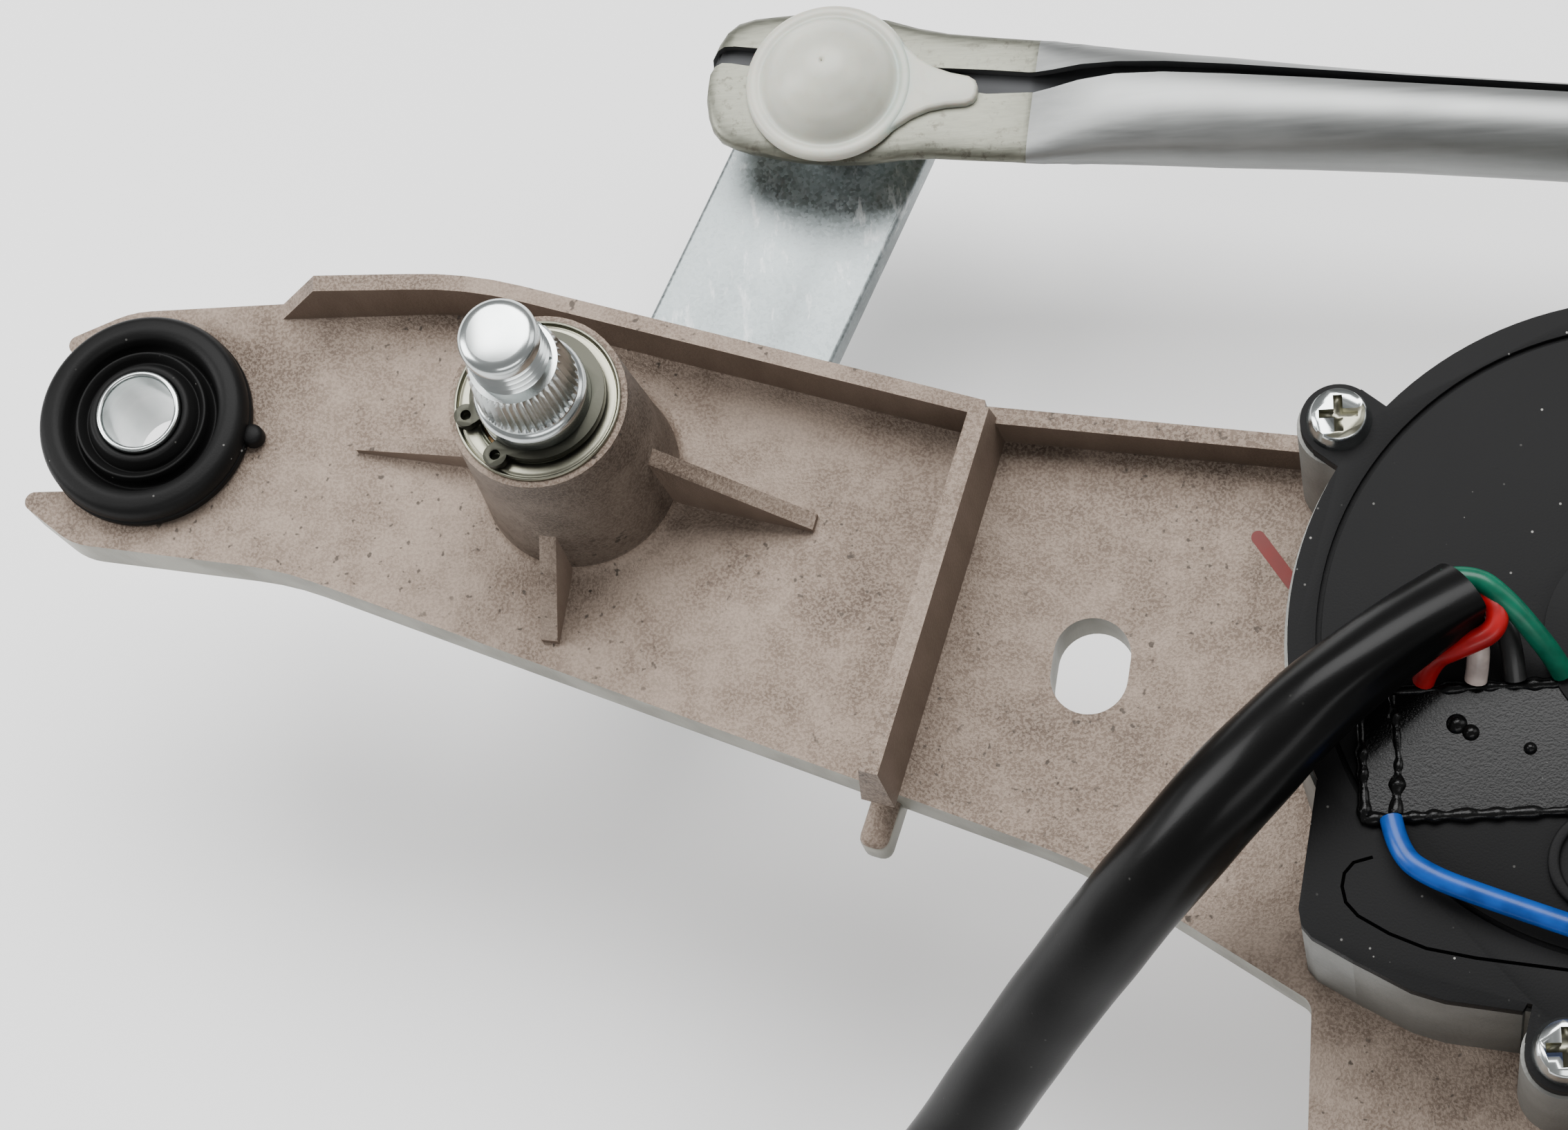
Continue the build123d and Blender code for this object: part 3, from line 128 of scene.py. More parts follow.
# %% Shader terms
class Term:
    """One output socket that can be used in arithmetic."""

    def __init__(self, finish, socket):
        self.finish = finish
        self.socket = socket

    def combine(self, operation, first, second):
        return self.finish.add("ShaderNodeMath", {"operation": operation}, {0: first, 1: second})

    def __add__(self, other):
        return self.combine("ADD", self, other)

    def __radd__(self, other):
        return self.combine("ADD", other, self)

    def __sub__(self, other):
        return self.combine("SUBTRACT", self, other)

    def __rsub__(self, other):
        return self.combine("SUBTRACT", other, self)

    def __mul__(self, other):
        return self.combine("MULTIPLY", self, other)

    def __rmul__(self, other):
        return self.combine("MULTIPLY", other, self)

    def above(self, edge, width):
        """0 below the edge and 1 above it, with a soft step of that width."""
        settings = {"interpolation_type": "SMOOTHSTEP", "clamp": True}
        ends = {"Value": self, "From Min": edge - width / 2, "From Max": edge + width / 2}
        return self.finish.add("ShaderNodeMapRange", settings, ends)


# %% Finishes
class Finish:
    """A material in the making: its tree, its Principled shader and its own coordinates."""

    def __init__(self, name, **constants):
        self.material = bpy.data.materials.new(name)
        self.material.use_nodes = True
        self.tree = self.material.node_tree
        self.tree.nodes.clear()
        self.shader = self.tree.nodes.new("ShaderNodeBsdfPrincipled")
        output = self.tree.nodes.new("ShaderNodeOutputMaterial")
        self.tree.links.new(self.shader.outputs[0], output.inputs["Surface"])
        self.coords = self.add("ShaderNodeTexCoord", {}, {}, "Object")
        for socket, value in constants.items():
            self.shader.inputs[socket.replace("_", " ")].default_value = value

    def add(self, kind, settings, sockets, output=0):
        node = self.tree.nodes.new(kind)
        for key, value in settings.items():
            if key == "stops":
                self.set_stops(node.color_ramp, value)
            else:
                setattr(node, key, value)
        for key, value in sockets.items():
            if isinstance(value, Term):
                self.tree.links.new(value.socket, node.inputs[key])
            else:
                node.inputs[key].default_value = value
        return Term(self, node.outputs[output])

    @staticmethod
    def set_stops(ramp, stops):
        while len(ramp.elements) < len(stops):
            ramp.elements.new(0.5)
        for element, (position, colour) in zip(ramp.elements, stops):
            element.position = position
            element.color = (*colour, 1.0)

    def stretched(self, scale, turn=0.0):
        """The piece's coordinates, turned about Z and scaled along each axis."""
        settings = {"vector_type": "POINT"}
        sockets = {"Vector": self.coords, "Rotation": (0, 0, turn), "Scale": scale}
        return self.add("ShaderNodeMapping", settings, sockets)

    def noise(self, size, detail=3.0, rough=0.5, vector=None):
        """Noise from 0 to 1 whose blobs are about this many millimetres across."""
        sockets = {
            "Vector": vector or self.coords,
            "Scale": 1.0 / (size * MM),
            "Detail": detail,
            "Roughness": rough,
        }
        return self.add("ShaderNodeTexNoise", {}, sockets)

    def cells(self, size, output="Distance"):
        """Cells about this many millimetres across: the distance to their middles, or a colour each."""
        sockets = {"Vector": self.coords, "Scale": 1.0 / (size * MM)}
        return self.add("ShaderNodeTexVoronoi", {}, sockets, output)

    def ramp(self, factor, *stops):
        return self.add("ShaderNodeValToRGB", {"stops": stops}, {"Fac": factor})

    def blend(self, factor, first, second):
        """A colour between two, each a Term or three numbers."""
        colours = [c if isinstance(c, Term) else (*c, 1.0) for c in (first, second)]
        settings = {"data_type": "RGBA"}
        return self.add("ShaderNodeMix", settings, {0: factor, 6: colours[0], 7: colours[1]}, 2)

    def drive(self, socket, value):
        self.tree.links.new(value.socket, self.shader.inputs[socket])

    def bump(self, height, depth, strength=1.0):
        """Bumps this many millimetres deep."""
        sockets = {"Height": height, "Distance": depth * MM, "Strength": strength}
        self.drive("Normal", self.add("ShaderNodeBump", {}, sockets))


# %% Floor and light
def studio_floor(height):
    stage = bmesh.new()
    bmesh.ops.create_grid(stage, x_segments=1, y_segments=1, size=3.0)
    bmesh.ops.translate(stage, verts=stage.verts, vec=(0.2, 0, height))
    mesh = bpy.data.meshes.new("floor")
    stage.to_mesh(mesh)
    floor = bpy.data.objects.new("floor", mesh)
    bpy.context.scene.collection.objects.link(floor)
    finish = Finish("studio_floor", Base_Color=(0.93, 0.93, 0.93, 1), Roughness=0.9)
    floor.data.materials.append(finish.material)


def softbox(name, place, target, size, power):
    lamp_data = bpy.data.lights.new(name, "AREA")
    lamp_data.shape = "RECTANGLE"
    lamp_data.size, lamp_data.size_y = size
    lamp_data.energy = power
    lamp = bpy.data.objects.new(name, lamp_data)
    lamp.location = place
    lamp.rotation_euler = (Vector(target) - Vector(place)).to_track_quat("-Z", "Y").to_euler()
    bpy.context.scene.collection.objects.link(lamp)


studio_floor(cad_low.z - 0.0004)
softbox("top_softbox", (0.10, 0.45, 0.85), (0.1, -0.02, 0), (0.9, 0.6), 18.0)
softbox("left_softbox", (-0.75, 0.05, 0.50), (0.08, 0, 0), (0.4, 0.7), 9.0)
softbox("front_softbox", (0.35, -0.85, 0.55), (0.1, 0, 0), (0.9, 0.25), 3.0)
softbox("right_softbox", (0.95, 0.20, 0.55), (0.2, 0, 0), (0.4, 0.7), 2.5)
world = bpy.data.worlds.new("studio")
world.use_nodes = True
world.node_tree.nodes["Background"].inputs["Color"].default_value = (1.0, 1.0, 1.0, 1.0)
world.node_tree.nodes["Background"].inputs["Strength"].default_value = 0.36
bpy.context.scene.world = world
print(len(bpy.data.lights), "softboxes over a floor at", round(cad_low.z / MM, 1), "mm")

# %% [markdown]
# ## The finishes
# Die-cast aluminium is grey-brown with a fine sandy grain and faint stains. Where the casting was
# trimmed, bare metal shows with file marks. Steel is either turned and zinc plated, cut from a
# spangled sheet, or drawn as tube. Rubber and plastic are dark, and dust gives them their scale.


# %% Cast aluminium
def cast_aluminium(name, tone):
    """Grey-brown with a sandy grain; tone darkens it, and a tone below one paints shade on the bosses' walls."""
    finish = Finish(name, Metallic=0.35, Specular_IOR_Level=0.35)
    grain = finish.noise(0.36, 2.0, 0.7)
    mottle = finish.noise(5.0, 4.0, 0.6)
    stain = finish.noise(24.0, 3.0, 0.5)
    dark, middle_tone, pale = (
        tuple(c * tone for c in colour)
        for colour in ((0.085, 0.060, 0.045), (0.145, 0.107, 0.082), (0.235, 0.183, 0.145))
    )
    base = finish.ramp(mottle * 0.5 + stain * 0.5, (0.34, dark), (0.48, middle_tone), (0.62, pale))
    speckle = grain.above(0.50, 0.16)
    bright = tuple(c * tone for c in (0.36, 0.29, 0.235))
    base = finish.blend(speckle * 0.42, base, bright)
    pits = finish.noise(1.1, 2.0).above(0.68, 0.08) * finish.noise(18.0, 1.0).above(0.50, 0.14)
    finish.drive("Base Color", finish.blend(pits * 0.8, base, (0.035, 0.028, 0.022)))
    finish.drive("Roughness", 0.50 + grain * 0.22)
    finish.bump(grain * 0.8 + finish.noise(1.6, 2.0) * 0.5, 0.16, 0.9)
    return finish.material


def cast_side_skin_and_shade():
    """The steep faces of ribs, darker brown: partly the as-cast skin, partly painted shade on faces turned from
    the lamp behind.
    """
    finish = Finish("cast_side_skin_and_shade", Metallic=0.3, Specular_IOR_Level=0.35)
    grain = finish.noise(0.4, 2.0, 0.7)
    streak = finish.noise(3.0, 3.0, 0.6, finish.stretched((1.0, 1.0, 0.25)))
    colour = finish.blend(streak * 0.8, (0.120, 0.086, 0.064), (0.215, 0.162, 0.128))
    finish.drive("Base Color", colour)
    finish.drive("Roughness", 0.5 + grain * 0.2)
    finish.bump(grain, 0.09, 0.7)
    return finish.material


def trimmed_edge():
    """Edges dressed with a belt: brighter, with slanting scratches."""
    finish = Finish("trimmed_edge", Metallic=0.55)
    scratch = finish.noise(1.0, 2.0, 0.6, finish.stretched((2.6, 0.35, 0.35), 0.6))
    patch = finish.noise(7.0, 2.0)
    wear = patch.above(0.5, 0.4) * 0.6 + scratch * 0.4
    finish.drive("Base Color", finish.blend(wear, (0.13, 0.125, 0.098), (0.30, 0.29, 0.25)))
    finish.drive("Roughness", 0.38 + scratch * 0.2)
    finish.bump(scratch, 0.06, 0.6)
    return finish.material


def housing_cast():
    """The gearbox's casting, greyer and smoother than the frame's."""
    finish = Finish("housing_cast", Metallic=0.55)
    grain = finish.noise(0.5, 2.0, 0.7)
    patch = finish.noise(9.0, 3.0)
    finish.drive("Base Color", finish.blend(patch, (0.10, 0.10, 0.094), (0.22, 0.22, 0.205)))
    finish.drive("Roughness", 0.42 + grain * 0.2)
    finish.bump(grain, 0.07, 0.6)
    return finish.material


# %% Steels
def zinc_plate(name, tone, rough, spangle):
    """Sheet steel whose zinc shows crystals of a size in millimetres, and pale scuffs."""
    finish = Finish(name, Metallic=1.0)
    crystals = finish.cells(spangle, "Color")
    shine = finish.add("ShaderNodeSeparateColor", {}, {"Color": crystals})
    cloud = finish.noise(12.0, 3.0)
    scuff = finish.noise(2.2, 4.0, 0.7, finish.stretched((1.0, 0.3, 1.0), 0.5)).above(0.62, 0.10)
    pale = tuple(min(1.0, t * 1.5) for t in tone)
    dark = tuple(t * 0.62 for t in tone)
    colour = finish.blend(shine * 0.6 + cloud * 0.4, dark, pale)
    finish.drive("Base Color", finish.blend(scuff * 0.3, colour, (0.92, 0.93, 0.93)))
    finish.drive("Roughness", rough + shine * 0.12 + scuff * 0.12)
    finish.bump(shine * 0.5 + finish.noise(0.5, 1.0) * 0.5, 0.018, 0.6)
    return finish.material


def turned_steel():
    """Bright bar with the faint rings of the lathe tool."""
    finish = Finish("turned_steel", Metallic=1.0)
    rings = finish.noise(0.7, 2.0, 0.5, finish.stretched((0.03, 0.03, 1.0)))
    tint = finish.noise(4.0, 2.0)
    finish.drive("Base Color", finish.blend(tint, (0.42, 0.46, 0.46), (0.66, 0.68, 0.67)))
    finish.drive("Roughness", 0.14 + rings * 0.14)
    finish.bump(rings, 0.012, 0.5)
    return finish.material


def link_heading():
    low, high = middle("link_socket_left"), middle("link_socket_right")
    return math.atan2(high.y - low.y, high.x - low.x)


def tube_steel():
    """Drawn tube: fine lines along it, grey and satin."""
    finish = Finish("tube_steel", Metallic=1.0)
    lines = finish.noise(0.8, 3.0, 0.6, finish.stretched((0.04, 1.0, 1.0), -link_heading()))
    cloud = finish.noise(16.0, 3.0)
    colour = finish.blend(cloud * 0.6 + lines * 0.4, (0.15, 0.155, 0.152), (0.36, 0.37, 0.365))
    finish.drive("Base Color", colour)
    finish.drive("Roughness", 0.36 + lines * 0.16)
    finish.bump(lines, 0.012, 0.5)
    return finish.material


def pressed_steel():
    """The flattened ends of the links, dulled and yellowed by the press and by grease."""
    finish = Finish("pressed_steel", Metallic=0.85)
    lines = finish.noise(0.5, 3.0, 0.6, finish.stretched((0.15, 1.0, 1.0), -link_heading()))
    dirt = finish.noise(1.2, 3.0, 0.7).above(0.60, 0.16) * finish.noise(9.0, 1.0).above(0.5, 0.2)
    colour = finish.blend(lines, (0.085, 0.087, 0.068), (0.25, 0.253, 0.208))
    finish.drive("Base Color", finish.blend(dirt * 0.8, colour, (0.08, 0.075, 0.06)))
    finish.drive("Roughness", 0.34 + lines * 0.2)
    finish.bump(lines, 0.03, 0.6)
    return finish.material


def plain_metal(name, colour, rough, metallic=1.0, mottle=0.25):
    finish = Finish(name, Metallic=metallic)
    cloud = finish.noise(3.0, 3.0)
    dark = tuple(c * (1 - mottle) for c in colour)
    finish.drive("Base Color", finish.blend(cloud, dark, colour))
    finish.drive("Roughness", rough + cloud * 0.1)
    finish.bump(finish.noise(0.4, 2.0), 0.02, 0.4)
    return finish.material


# %% Rubber, plastics and vinyl
def dusty_black(name, colour, rough, dust, grain_depth, coat=0.0):
    """Dark moulding whose specks of dust are sparse, small and pale."""
    finish = Finish(name, Coat_Weight=coat, Coat_Roughness=0.15, Specular_IOR_Level=0.1)
    specks = 1.0 - finish.cells(1.9).above(0.07, 0.03)
    where = finish.noise(7.0, 2.0).above(0.55, 0.2)
    haze = finish.noise(14.0, 4.0, 0.6)
    pale = tuple(c + 0.004 for c in colour)
    base = finish.blend(haze, colour, pale)
    finish.drive("Base Color", finish.blend(specks * where * dust, base, (0.5, 0.49, 0.46)))
    finish.drive("Roughness", rough + haze * 0.12)
    finish.bump(finish.noise(0.25, 2.0) + specks * 0.4, grain_depth, 0.6)
    return finish.material


def nylon():
    finish = Finish("nylon", Subsurface_Weight=0.25, Subsurface_Scale=0.002, IOR=1.5)
    cloud = finish.noise(6.0, 2.0)
    grease = finish.noise(1.6, 3.0, 0.6).above(0.62, 0.12)
    colour = finish.blend(cloud, (0.37, 0.375, 0.335), (0.52, 0.525, 0.44))
    finish.drive("Base Color", finish.blend(grease * 0.25, colour, (0.40, 0.38, 0.30)))
    finish.drive("Roughness", 0.30 + cloud * 0.12)
    finish.bump(finish.noise(0.6, 2.0), 0.02, 0.4)
    return finish.material


def wire_vinyl(name, colour):
    finish = Finish(name, Coat_Weight=0.06, Coat_Roughness=0.12, Specular_IOR_Level=0.25)
    cloud = finish.noise(2.4, 3.0)
    dark = tuple(c * 0.55 for c in colour)
    finish.drive("Base Color", finish.blend(cloud.above(0.45, 0.5), dark, colour))
    finish.drive("Roughness", 0.28 + cloud * 0.15)
    finish.bump(finish.noise(0.8, 2.0), 0.02, 0.4)
    return finish.material


CAST = cast_aluminium("cast_aluminium", 1.0)
# A darker tone of the same casting for the bosses' walls: painted shade.
SHADED_CAST_WALL = cast_aluminium("cast_wall_painted_shade", 0.55)
# The ribs' steep faces: as-cast skin and painted shade.
CAST_SIDE_SKIN_AND_SHADE = cast_side_skin_and_shade()
TRIMMED = trimmed_edge()
HOUSING = housing_cast()
ZINC = zinc_plate("zinc_plate", (0.21, 0.235, 0.238), 0.36, 0.42)
BRIGHT = turned_steel()
TUBE = tube_steel()
PRESSED = pressed_steel()
SPRING = plain_metal("spring_steel", (0.045, 0.045, 0.036), 0.32)
CUP = plain_metal("cup_steel", (0.27, 0.265, 0.205), 0.28)
BRONZE = plain_metal("sintered_bronze", (0.42, 0.27, 0.13), 0.45)
COPPER = plain_metal("copper", (0.62, 0.25, 0.13), 0.3)
LAMINATED = plain_metal("laminated_steel", (0.35, 0.36, 0.37), 0.4)
# The tube's inside is the same strip steel; its darker colour is painted shade.
TUBE_INSIDE_SHADE = plain_metal("tube_inside_painted_shade", (0.05, 0.052, 0.055), 0.6, 0.3)
RUBBER = dusty_black("moulded_rubber", (0.004, 0.004, 0.004), 0.42, 0.4, 0.03)
COVER = dusty_black("cover_plastic", (0.0035, 0.0035, 0.0037), 0.50, 0.5, 0.035)
POTTING = dusty_black("potting", (0.001, 0.001, 0.001), 0.14, 0.15, 0.09, 0.12)
VINYL = dusty_black("sleeve_vinyl", (0.0008, 0.0008, 0.0008), 0.24, 0.06, 0.012, 0.05)
CAN_PAINT = dusty_black("can_paint", (0.012, 0.012, 0.013), 0.3, 0.2, 0.02)
CARBON = dusty_black("carbon", (0.02, 0.02, 0.02), 0.6, 0.0, 0.02)
# An unlit near-black for the cover's groove: painted shadow.
GROOVE_SHADE = Finish(
    "groove_shadow", Base_Color=(0.0006, 0.0006, 0.0006, 1), Roughness=1.0, Specular_IOR_Level=0.0
).material
NYLON = nylon()
MARK = plain_metal("red_paint", (0.16, 0.012, 0.008), 0.6, 0.0, 0.5)
RED = wire_vinyl("red_vinyl", (0.30, 0.006, 0.008))
GREEN = wire_vinyl("green_vinyl", (0.0, 0.10, 0.055))
GREY = wire_vinyl("grey_vinyl", (0.55, 0.46, 0.42))
BLACK_WIRE = wire_vinyl("black_vinyl", (0.02, 0.02, 0.02))
BLUE = wire_vinyl("blue_vinyl", (0.0, 0.05, 0.26))
print(len(bpy.data.materials), "finishes")

# %% [markdown]
# ## Working on a mesh
# Most pieces start in one of three ways: a half section spun about an axis, a copy of the CAD piece
# whose sharp edges are rounded, or a ring that is extruded from place to place along a path. A cast
# or pressed edge is never knife sharp, and its small round catches the light.


# %% Finishing a mesh and spinning a section
def keep(shape, name, body, finishes, stands_for=(), smooth=38.0):
    """Turns a bmesh into a finished object that rides on a body."""
    bmesh.ops.recalc_face_normals(shape, faces=shape.faces)
    mesh = bpy.data.meshes.new(name)
    shape.to_mesh(mesh)
    shape.free()
    piece = bpy.data.objects.new(name, mesh)
    bpy.context.scene.collection.objects.link(piece)
    for finish in finishes:
        mesh.materials.append(finish)
    mesh.shade_smooth()
    mesh.set_sharp_from_angle(angle=math.radians(smooth))
    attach(piece, body)
    if stands_for:
        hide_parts(*stands_for)
    print(name, len(mesh.polygons), "faces")
    return piece


def lathe(shape, profile, place, steps=96):
    """Spins (radius, height) points, in millimetres, about the upright axis through a place."""
    points = [shape.verts.new((place.x + r * MM, place.y, z * MM)) for r, z in profile]
    edges = [shape.edges.new(pair) for pair in zip(points, points[1:])]
    before = len(shape.faces)
    bmesh.ops.spin(
        shape, geom=points + edges, cent=place, axis=(0, 0, 1), angle=2 * math.pi, steps=steps,
        use_merge=True,
    )
    shape.faces.ensure_lookup_table()
    made = dict.fromkeys(v for face in shape.faces[before:] for v in face.verts)
    bmesh.ops.remove_doubles(shape, verts=list(made), dist=1e-6)


def rounded(corners, radius, count=4):
    """A profile whose corners are cut back to arcs of a radius, or less on short sides."""
    line = [Vector(corners[0])]
    for before, corner, after in zip(corners, corners[1:], corners[2:]):
        corner = Vector(corner)
        first, second = Vector(before) - corner, Vector(after) - corner
        reach = min(radius, 0.45 * first.length, 0.45 * second.length)
        start, end = corner + first.normalized() * reach, corner + second.normalized() * reach
        for step in range(count + 1):
            t = step / count
            line.append(start * (1 - t) ** 2 + corner * (2 * t * (1 - t)) + end * t**2)
    return [tuple(p) for p in (*line, Vector(corners[-1]))]


# %% Copies of CAD pieces with rounded edges
def copy_of(*names):
    """The CAD pieces as one clean mesh: doubles merged, flat facets joined."""
    shape = bmesh.new()
    for name in names:
        shape.from_mesh(nodes[name].data)
    bmesh.ops.remove_doubles(shape, verts=shape.verts, dist=2e-6)
    bmesh.ops.dissolve_limit(
        shape, angle_limit=math.radians(0.8), verts=shape.verts, edges=shape.edges, delimit=set()
    )
    return shape


def bevel(shape, edges, radius, segments):
    """Cuts edges back to arcs of a radius in millimetres."""
    bmesh.ops.bevel(
        shape, geom=edges, offset=radius * MM, offset_type="OFFSET", segments=segments, profile=0.5,
        affect="EDGES", clamp_overlap=True, material=-1,
    )


def round_edges(shape, radius, segments=2):
    """Rounds the sharp outer corners and leaves the inner ones as they are."""
    sharp = [
        e for e in shape.edges
        if len(e.link_faces) == 2 and e.calc_face_angle_signed(0.0) > math.radians(35)
    ]
    bevel(shape, sharp, radius, segments)


def softened(name, body, finishes, radius, segments=2):
    """Replaces a CAD piece by a copy with rounded edges."""
    shape = copy_of(name)
    round_edges(shape, radius, segments)
    return keep(shape, f"{name}_look", body, finishes, (name,))


# %% Rings extruded along a path
def through_rings(shape, rings):
    """Extrudes a closed ring of points through the places of the next rings, and caps both ends."""
    corners = [shape.verts.new(p) for p in rings[0]]
    edges = [shape.edges.new(pair) for pair in zip(corners, corners[1:] + corners[:1])]
    bmesh.ops.contextual_create(shape, geom=edges)
    for ring in rings[1:]:
        made = bmesh.ops.extrude_edge_only(shape, edges=edges)["geom"]
        fresh = {v for v in made if isinstance(v, bmesh.types.BMVert)}
        corners = [
            next(e.other_vert(v) for e in v.link_edges if e.other_vert(v) in fresh) for v in corners
        ]
        for corner, place in zip(corners, ring):
            corner.co = place
        edges = [
            e for e in made
            if isinstance(e, bmesh.types.BMEdge) and all(v in fresh for v in e.verts)
        ]
    bmesh.ops.contextual_create(shape, geom=edges)


def frames_along(line):
    """For each point of a line: the point, its sideways direction and its upward direction."""
    for i, point in enumerate(line):
        along = (line[min(i + 1, len(line) - 1)] - line[max(i - 1, 0)]).normalized()
        side = along.cross(Vector((0, 0, 1))).normalized()
        yield point, side, side.cross(along)


def bead(shape, line, radius, lumps=0.0, seed=0.0, corners=10):
    """A thin rounded line, even or lumpy, through points in metres."""
    rings = []
    for point, side, up in frames_along(line):
        lump = 1 + lumps * noise.noise(point / (1.6 * MM) + Vector((seed, 0, 0)))
        turns = [2 * math.pi * i / corners for i in range(corners)]
        rings.append([
            point + (side * math.cos(a) + up * math.sin(a)) * radius * lump * MM for a in turns
        ])
    through_rings(shape, rings)


def walk(corners, step):
    """Points every step millimetres along straight lines between corners, given in millimetres."""
    line = []
    for start, end in zip(corners, corners[1:]):
        start, end = Vector(start), Vector(end)
        count = max(1, round((end - start).length / step))
        line += [(start + (end - start) * i / count) * MM for i in range(count)]
    return line + [Vector(corners[-1]) * MM]


# %% [markdown]
# ## The cable and its wires
# Four wires rise from the sealed terminals and bend into the open end of a vinyl sleeve, which
# droops over the cover and the frame's edge to a plug. A wire is a NURBS curve with a round bevel.
# The sleeve is more than a round tube: near its open end it is squeezed flat and has a hollow, so it
# is made of rings that follow the same kind of curve.


# %% Routes
def route_curve(name, points, thickness=0.0):
    """A smooth curve with these control points, in millimetres."""
    data = bpy.data.curves.new(name, "CURVE")
    data.dimensions = "3D"
    data.resolution_u = 10
    data.bevel_depth = thickness / 2 * MM
    data.bevel_resolution = 5
    data.use_fill_caps = True
    spline = data.splines.new("NURBS")
    spline.points.add(len(points) - 1)
    for control, place in zip(spline.points, points):
        control.co = (*(Vector(place) * MM), 1.0)
    spline.order_u = 3
    spline.use_endpoint_u = True
    curve = bpy.data.objects.new(name, data)
    bpy.context.scene.collection.objects.link(curve)
    return curve


def points_on(curve):
    """The places, in metres, along a curve that has no thickness."""
    mesh = bpy.data.meshes.new_from_object(curve)
    line = [v.co.copy() for v in mesh.vertices]
    bpy.data.meshes.remove(mesh)
    return line


CABLE_ROUTE = (
    (153.7, -39.0, 39.4), (142.4, -46.4, 41.4), (130.4, -56.9, 38.2), (119.4, -65.5, 27.4),
    (109.6, -72.4, 13.0), (100.4, -79.6, -2.0), (91.2, -87.4, -16.0), (79.4, -97.2, -28.2),
    (65.0, -107.8, -37.4), (48.2, -117.2, -42.4), (29.8, -122.6, -43.3),
)
WIRE_ROUTES = {
    "red": (
        (153.4, -38.4, 39.4), (156.8, -39.3, 40.6), (157.4, -43.2, 40.0), (153.4, -44.6, 39.0),
        (150.2, -44.9, 36.4), (149.3, -46.4, 33.2),
    ),
    "green": (
        (151.8, -37.9, 41.2), (155.0, -37.7, 41.7), (158.1, -40.3, 41.0), (160.9, -43.2, 38.2),
        (162.8, -45.0, 35.2), (163.7, -46.2, 33.2),
    ),
    "grey": (
        (152.8, -40.6, 36.8), (155.0, -42.2, 36.5), (155.2, -44.6, 35.4), (154.7, -46.6, 33.2),
    ),
    "black": (
        (153.4, -37.4, 36.8), (157.4, -39.6, 36.6), (158.6, -43.6, 35.6), (158.8, -46.6, 33.2),
    ),
    "blue": (
        (145.2, -61.2, 33.3), (145.8, -65.4, 34.3), (149.2, -68.0, 34.6), (154.6, -70.3, 34.6),
        (162.6, -73.5, 34.6), (172.0, -77.2, 34.8), (181.0, -80.4, 34.6), (189.0, -82.6, 34.4),
        (196.6, -84.8, 34.4),
    ),
}
WIRE_FINISHES = {"red": RED, "green": GREEN, "grey": GREY, "black": BLACK_WIRE, "blue": BLUE}

for colour, route in WIRE_ROUTES.items():
    wire = route_curve(f"wire_{colour}_look", route, 2.4)
    wire.data.materials.append(WIRE_FINISHES[colour])
    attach(wire, "frame")
    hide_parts(f"wire_{colour}")

# %% The sleeve
SLEEVE_RADIUS = 5.2
SQUEEZED_LENGTH = 34.0  # the flattened stretch behind the open end
SQUEEZE_TURN = math.radians(38)
CREASE_AT = 2.2  # radians round the sleeve
HOLLOW_LENGTH = 14.0
INNER_SHARE = 0.84  # of the outer radius


def sleeve_ring(point, side, up, distance, scale=1.0, corners=40):
    """One section: round at first, and near the open end flatter, turned and creased."""
    squeeze = max(0.0, 1 - distance / SQUEEZED_LENGTH) ** 1.3
    turn = SQUEEZE_TURN * squeeze
    ring = []
    for i in range(corners):
        angle = 2 * math.pi * i / corners
        crease = 0.16 * squeeze * math.exp(-((angle - CREASE_AT) ** 2) / 0.10)
        crease += 0.035 * noise.noise(Vector((math.cos(angle), math.sin(angle), distance / 9.0)))
        wide = SLEEVE_RADIUS * (1 - 0.30 * squeeze) * (1 - crease)
        tall = SLEEVE_RADIUS * (1 - 0.04 * squeeze) * (1 - crease)
        x, y = wide * math.cos(angle) * scale, tall * math.sin(angle) * scale
        sideways = x * math.cos(turn) - y * math.sin(turn)
        upwards = x * math.sin(turn) + y * math.cos(turn)
        ring.append(point + (side * sideways + up * upwards) * MM)
    return ring


guide = route_curve("sleeve_route", CABLE_ROUTE)
cable_line = points_on(guide)
bpy.data.objects.remove(guide)
distances = [0.0]
for first, second in zip(cable_line, cable_line[1:]):
    distances.append(distances[-1] + (second - first).length / MM)
print("cable length in mm", round(distances[-1], 1))
sections = list(zip(frames_along(cable_line), distances))
sleeve = bmesh.new()
hollow = [sleeve_ring(*at, d, INNER_SHARE) for at, d in sections if d < HOLLOW_LENGTH][::-1]
outside = [sleeve_ring(*at, d) for at, d in sections]
through_rings(sleeve, hollow + outside)
sleeve_look = keep(
    sleeve, "cable_sleeve_look", "frame", (VINYL,), ("cable_sleeve",), 60
)

# %% The plug and what belongs to the cable
plug = softened("cable_connector", "frame", (NYLON,), 0.5)

# %% [markdown]
# ## The frame casting
# The die fills this frame in one shot: a plate with a flange rib, a cross rib and two bosses. The
# copy of the CAD piece gets its rounded edges from a bevel. The bosses get a fillet skirt at their
# foot, the flange rib's end is sloped off, and a small lug hangs at the cross rib's foot, where the
# ejector pushed the casting out of the die.

# %% Frame casting
PLATE_TOP = 10.0
RIB_END_X, RIB_END_Y = 18.5, 9.0  # the flange rib's left end lies before one and behind the other
RIB_LEAN = 0.75  # of that end, for each millimetre of height
BOSS_REACH = 12.2  # faces nearer to a spindle's axis belong to its boss
BOSS_FOOT = rounded([(15.4, 9.9), (15.2, 10.03), (11.7, 10.2), (11.4, 14.2), (10.5, 14.2)], 3.2, 8)
BURIED_FOOT = [(10.5, 9.5), (15.4, 9.5), (15.4, 9.9)]

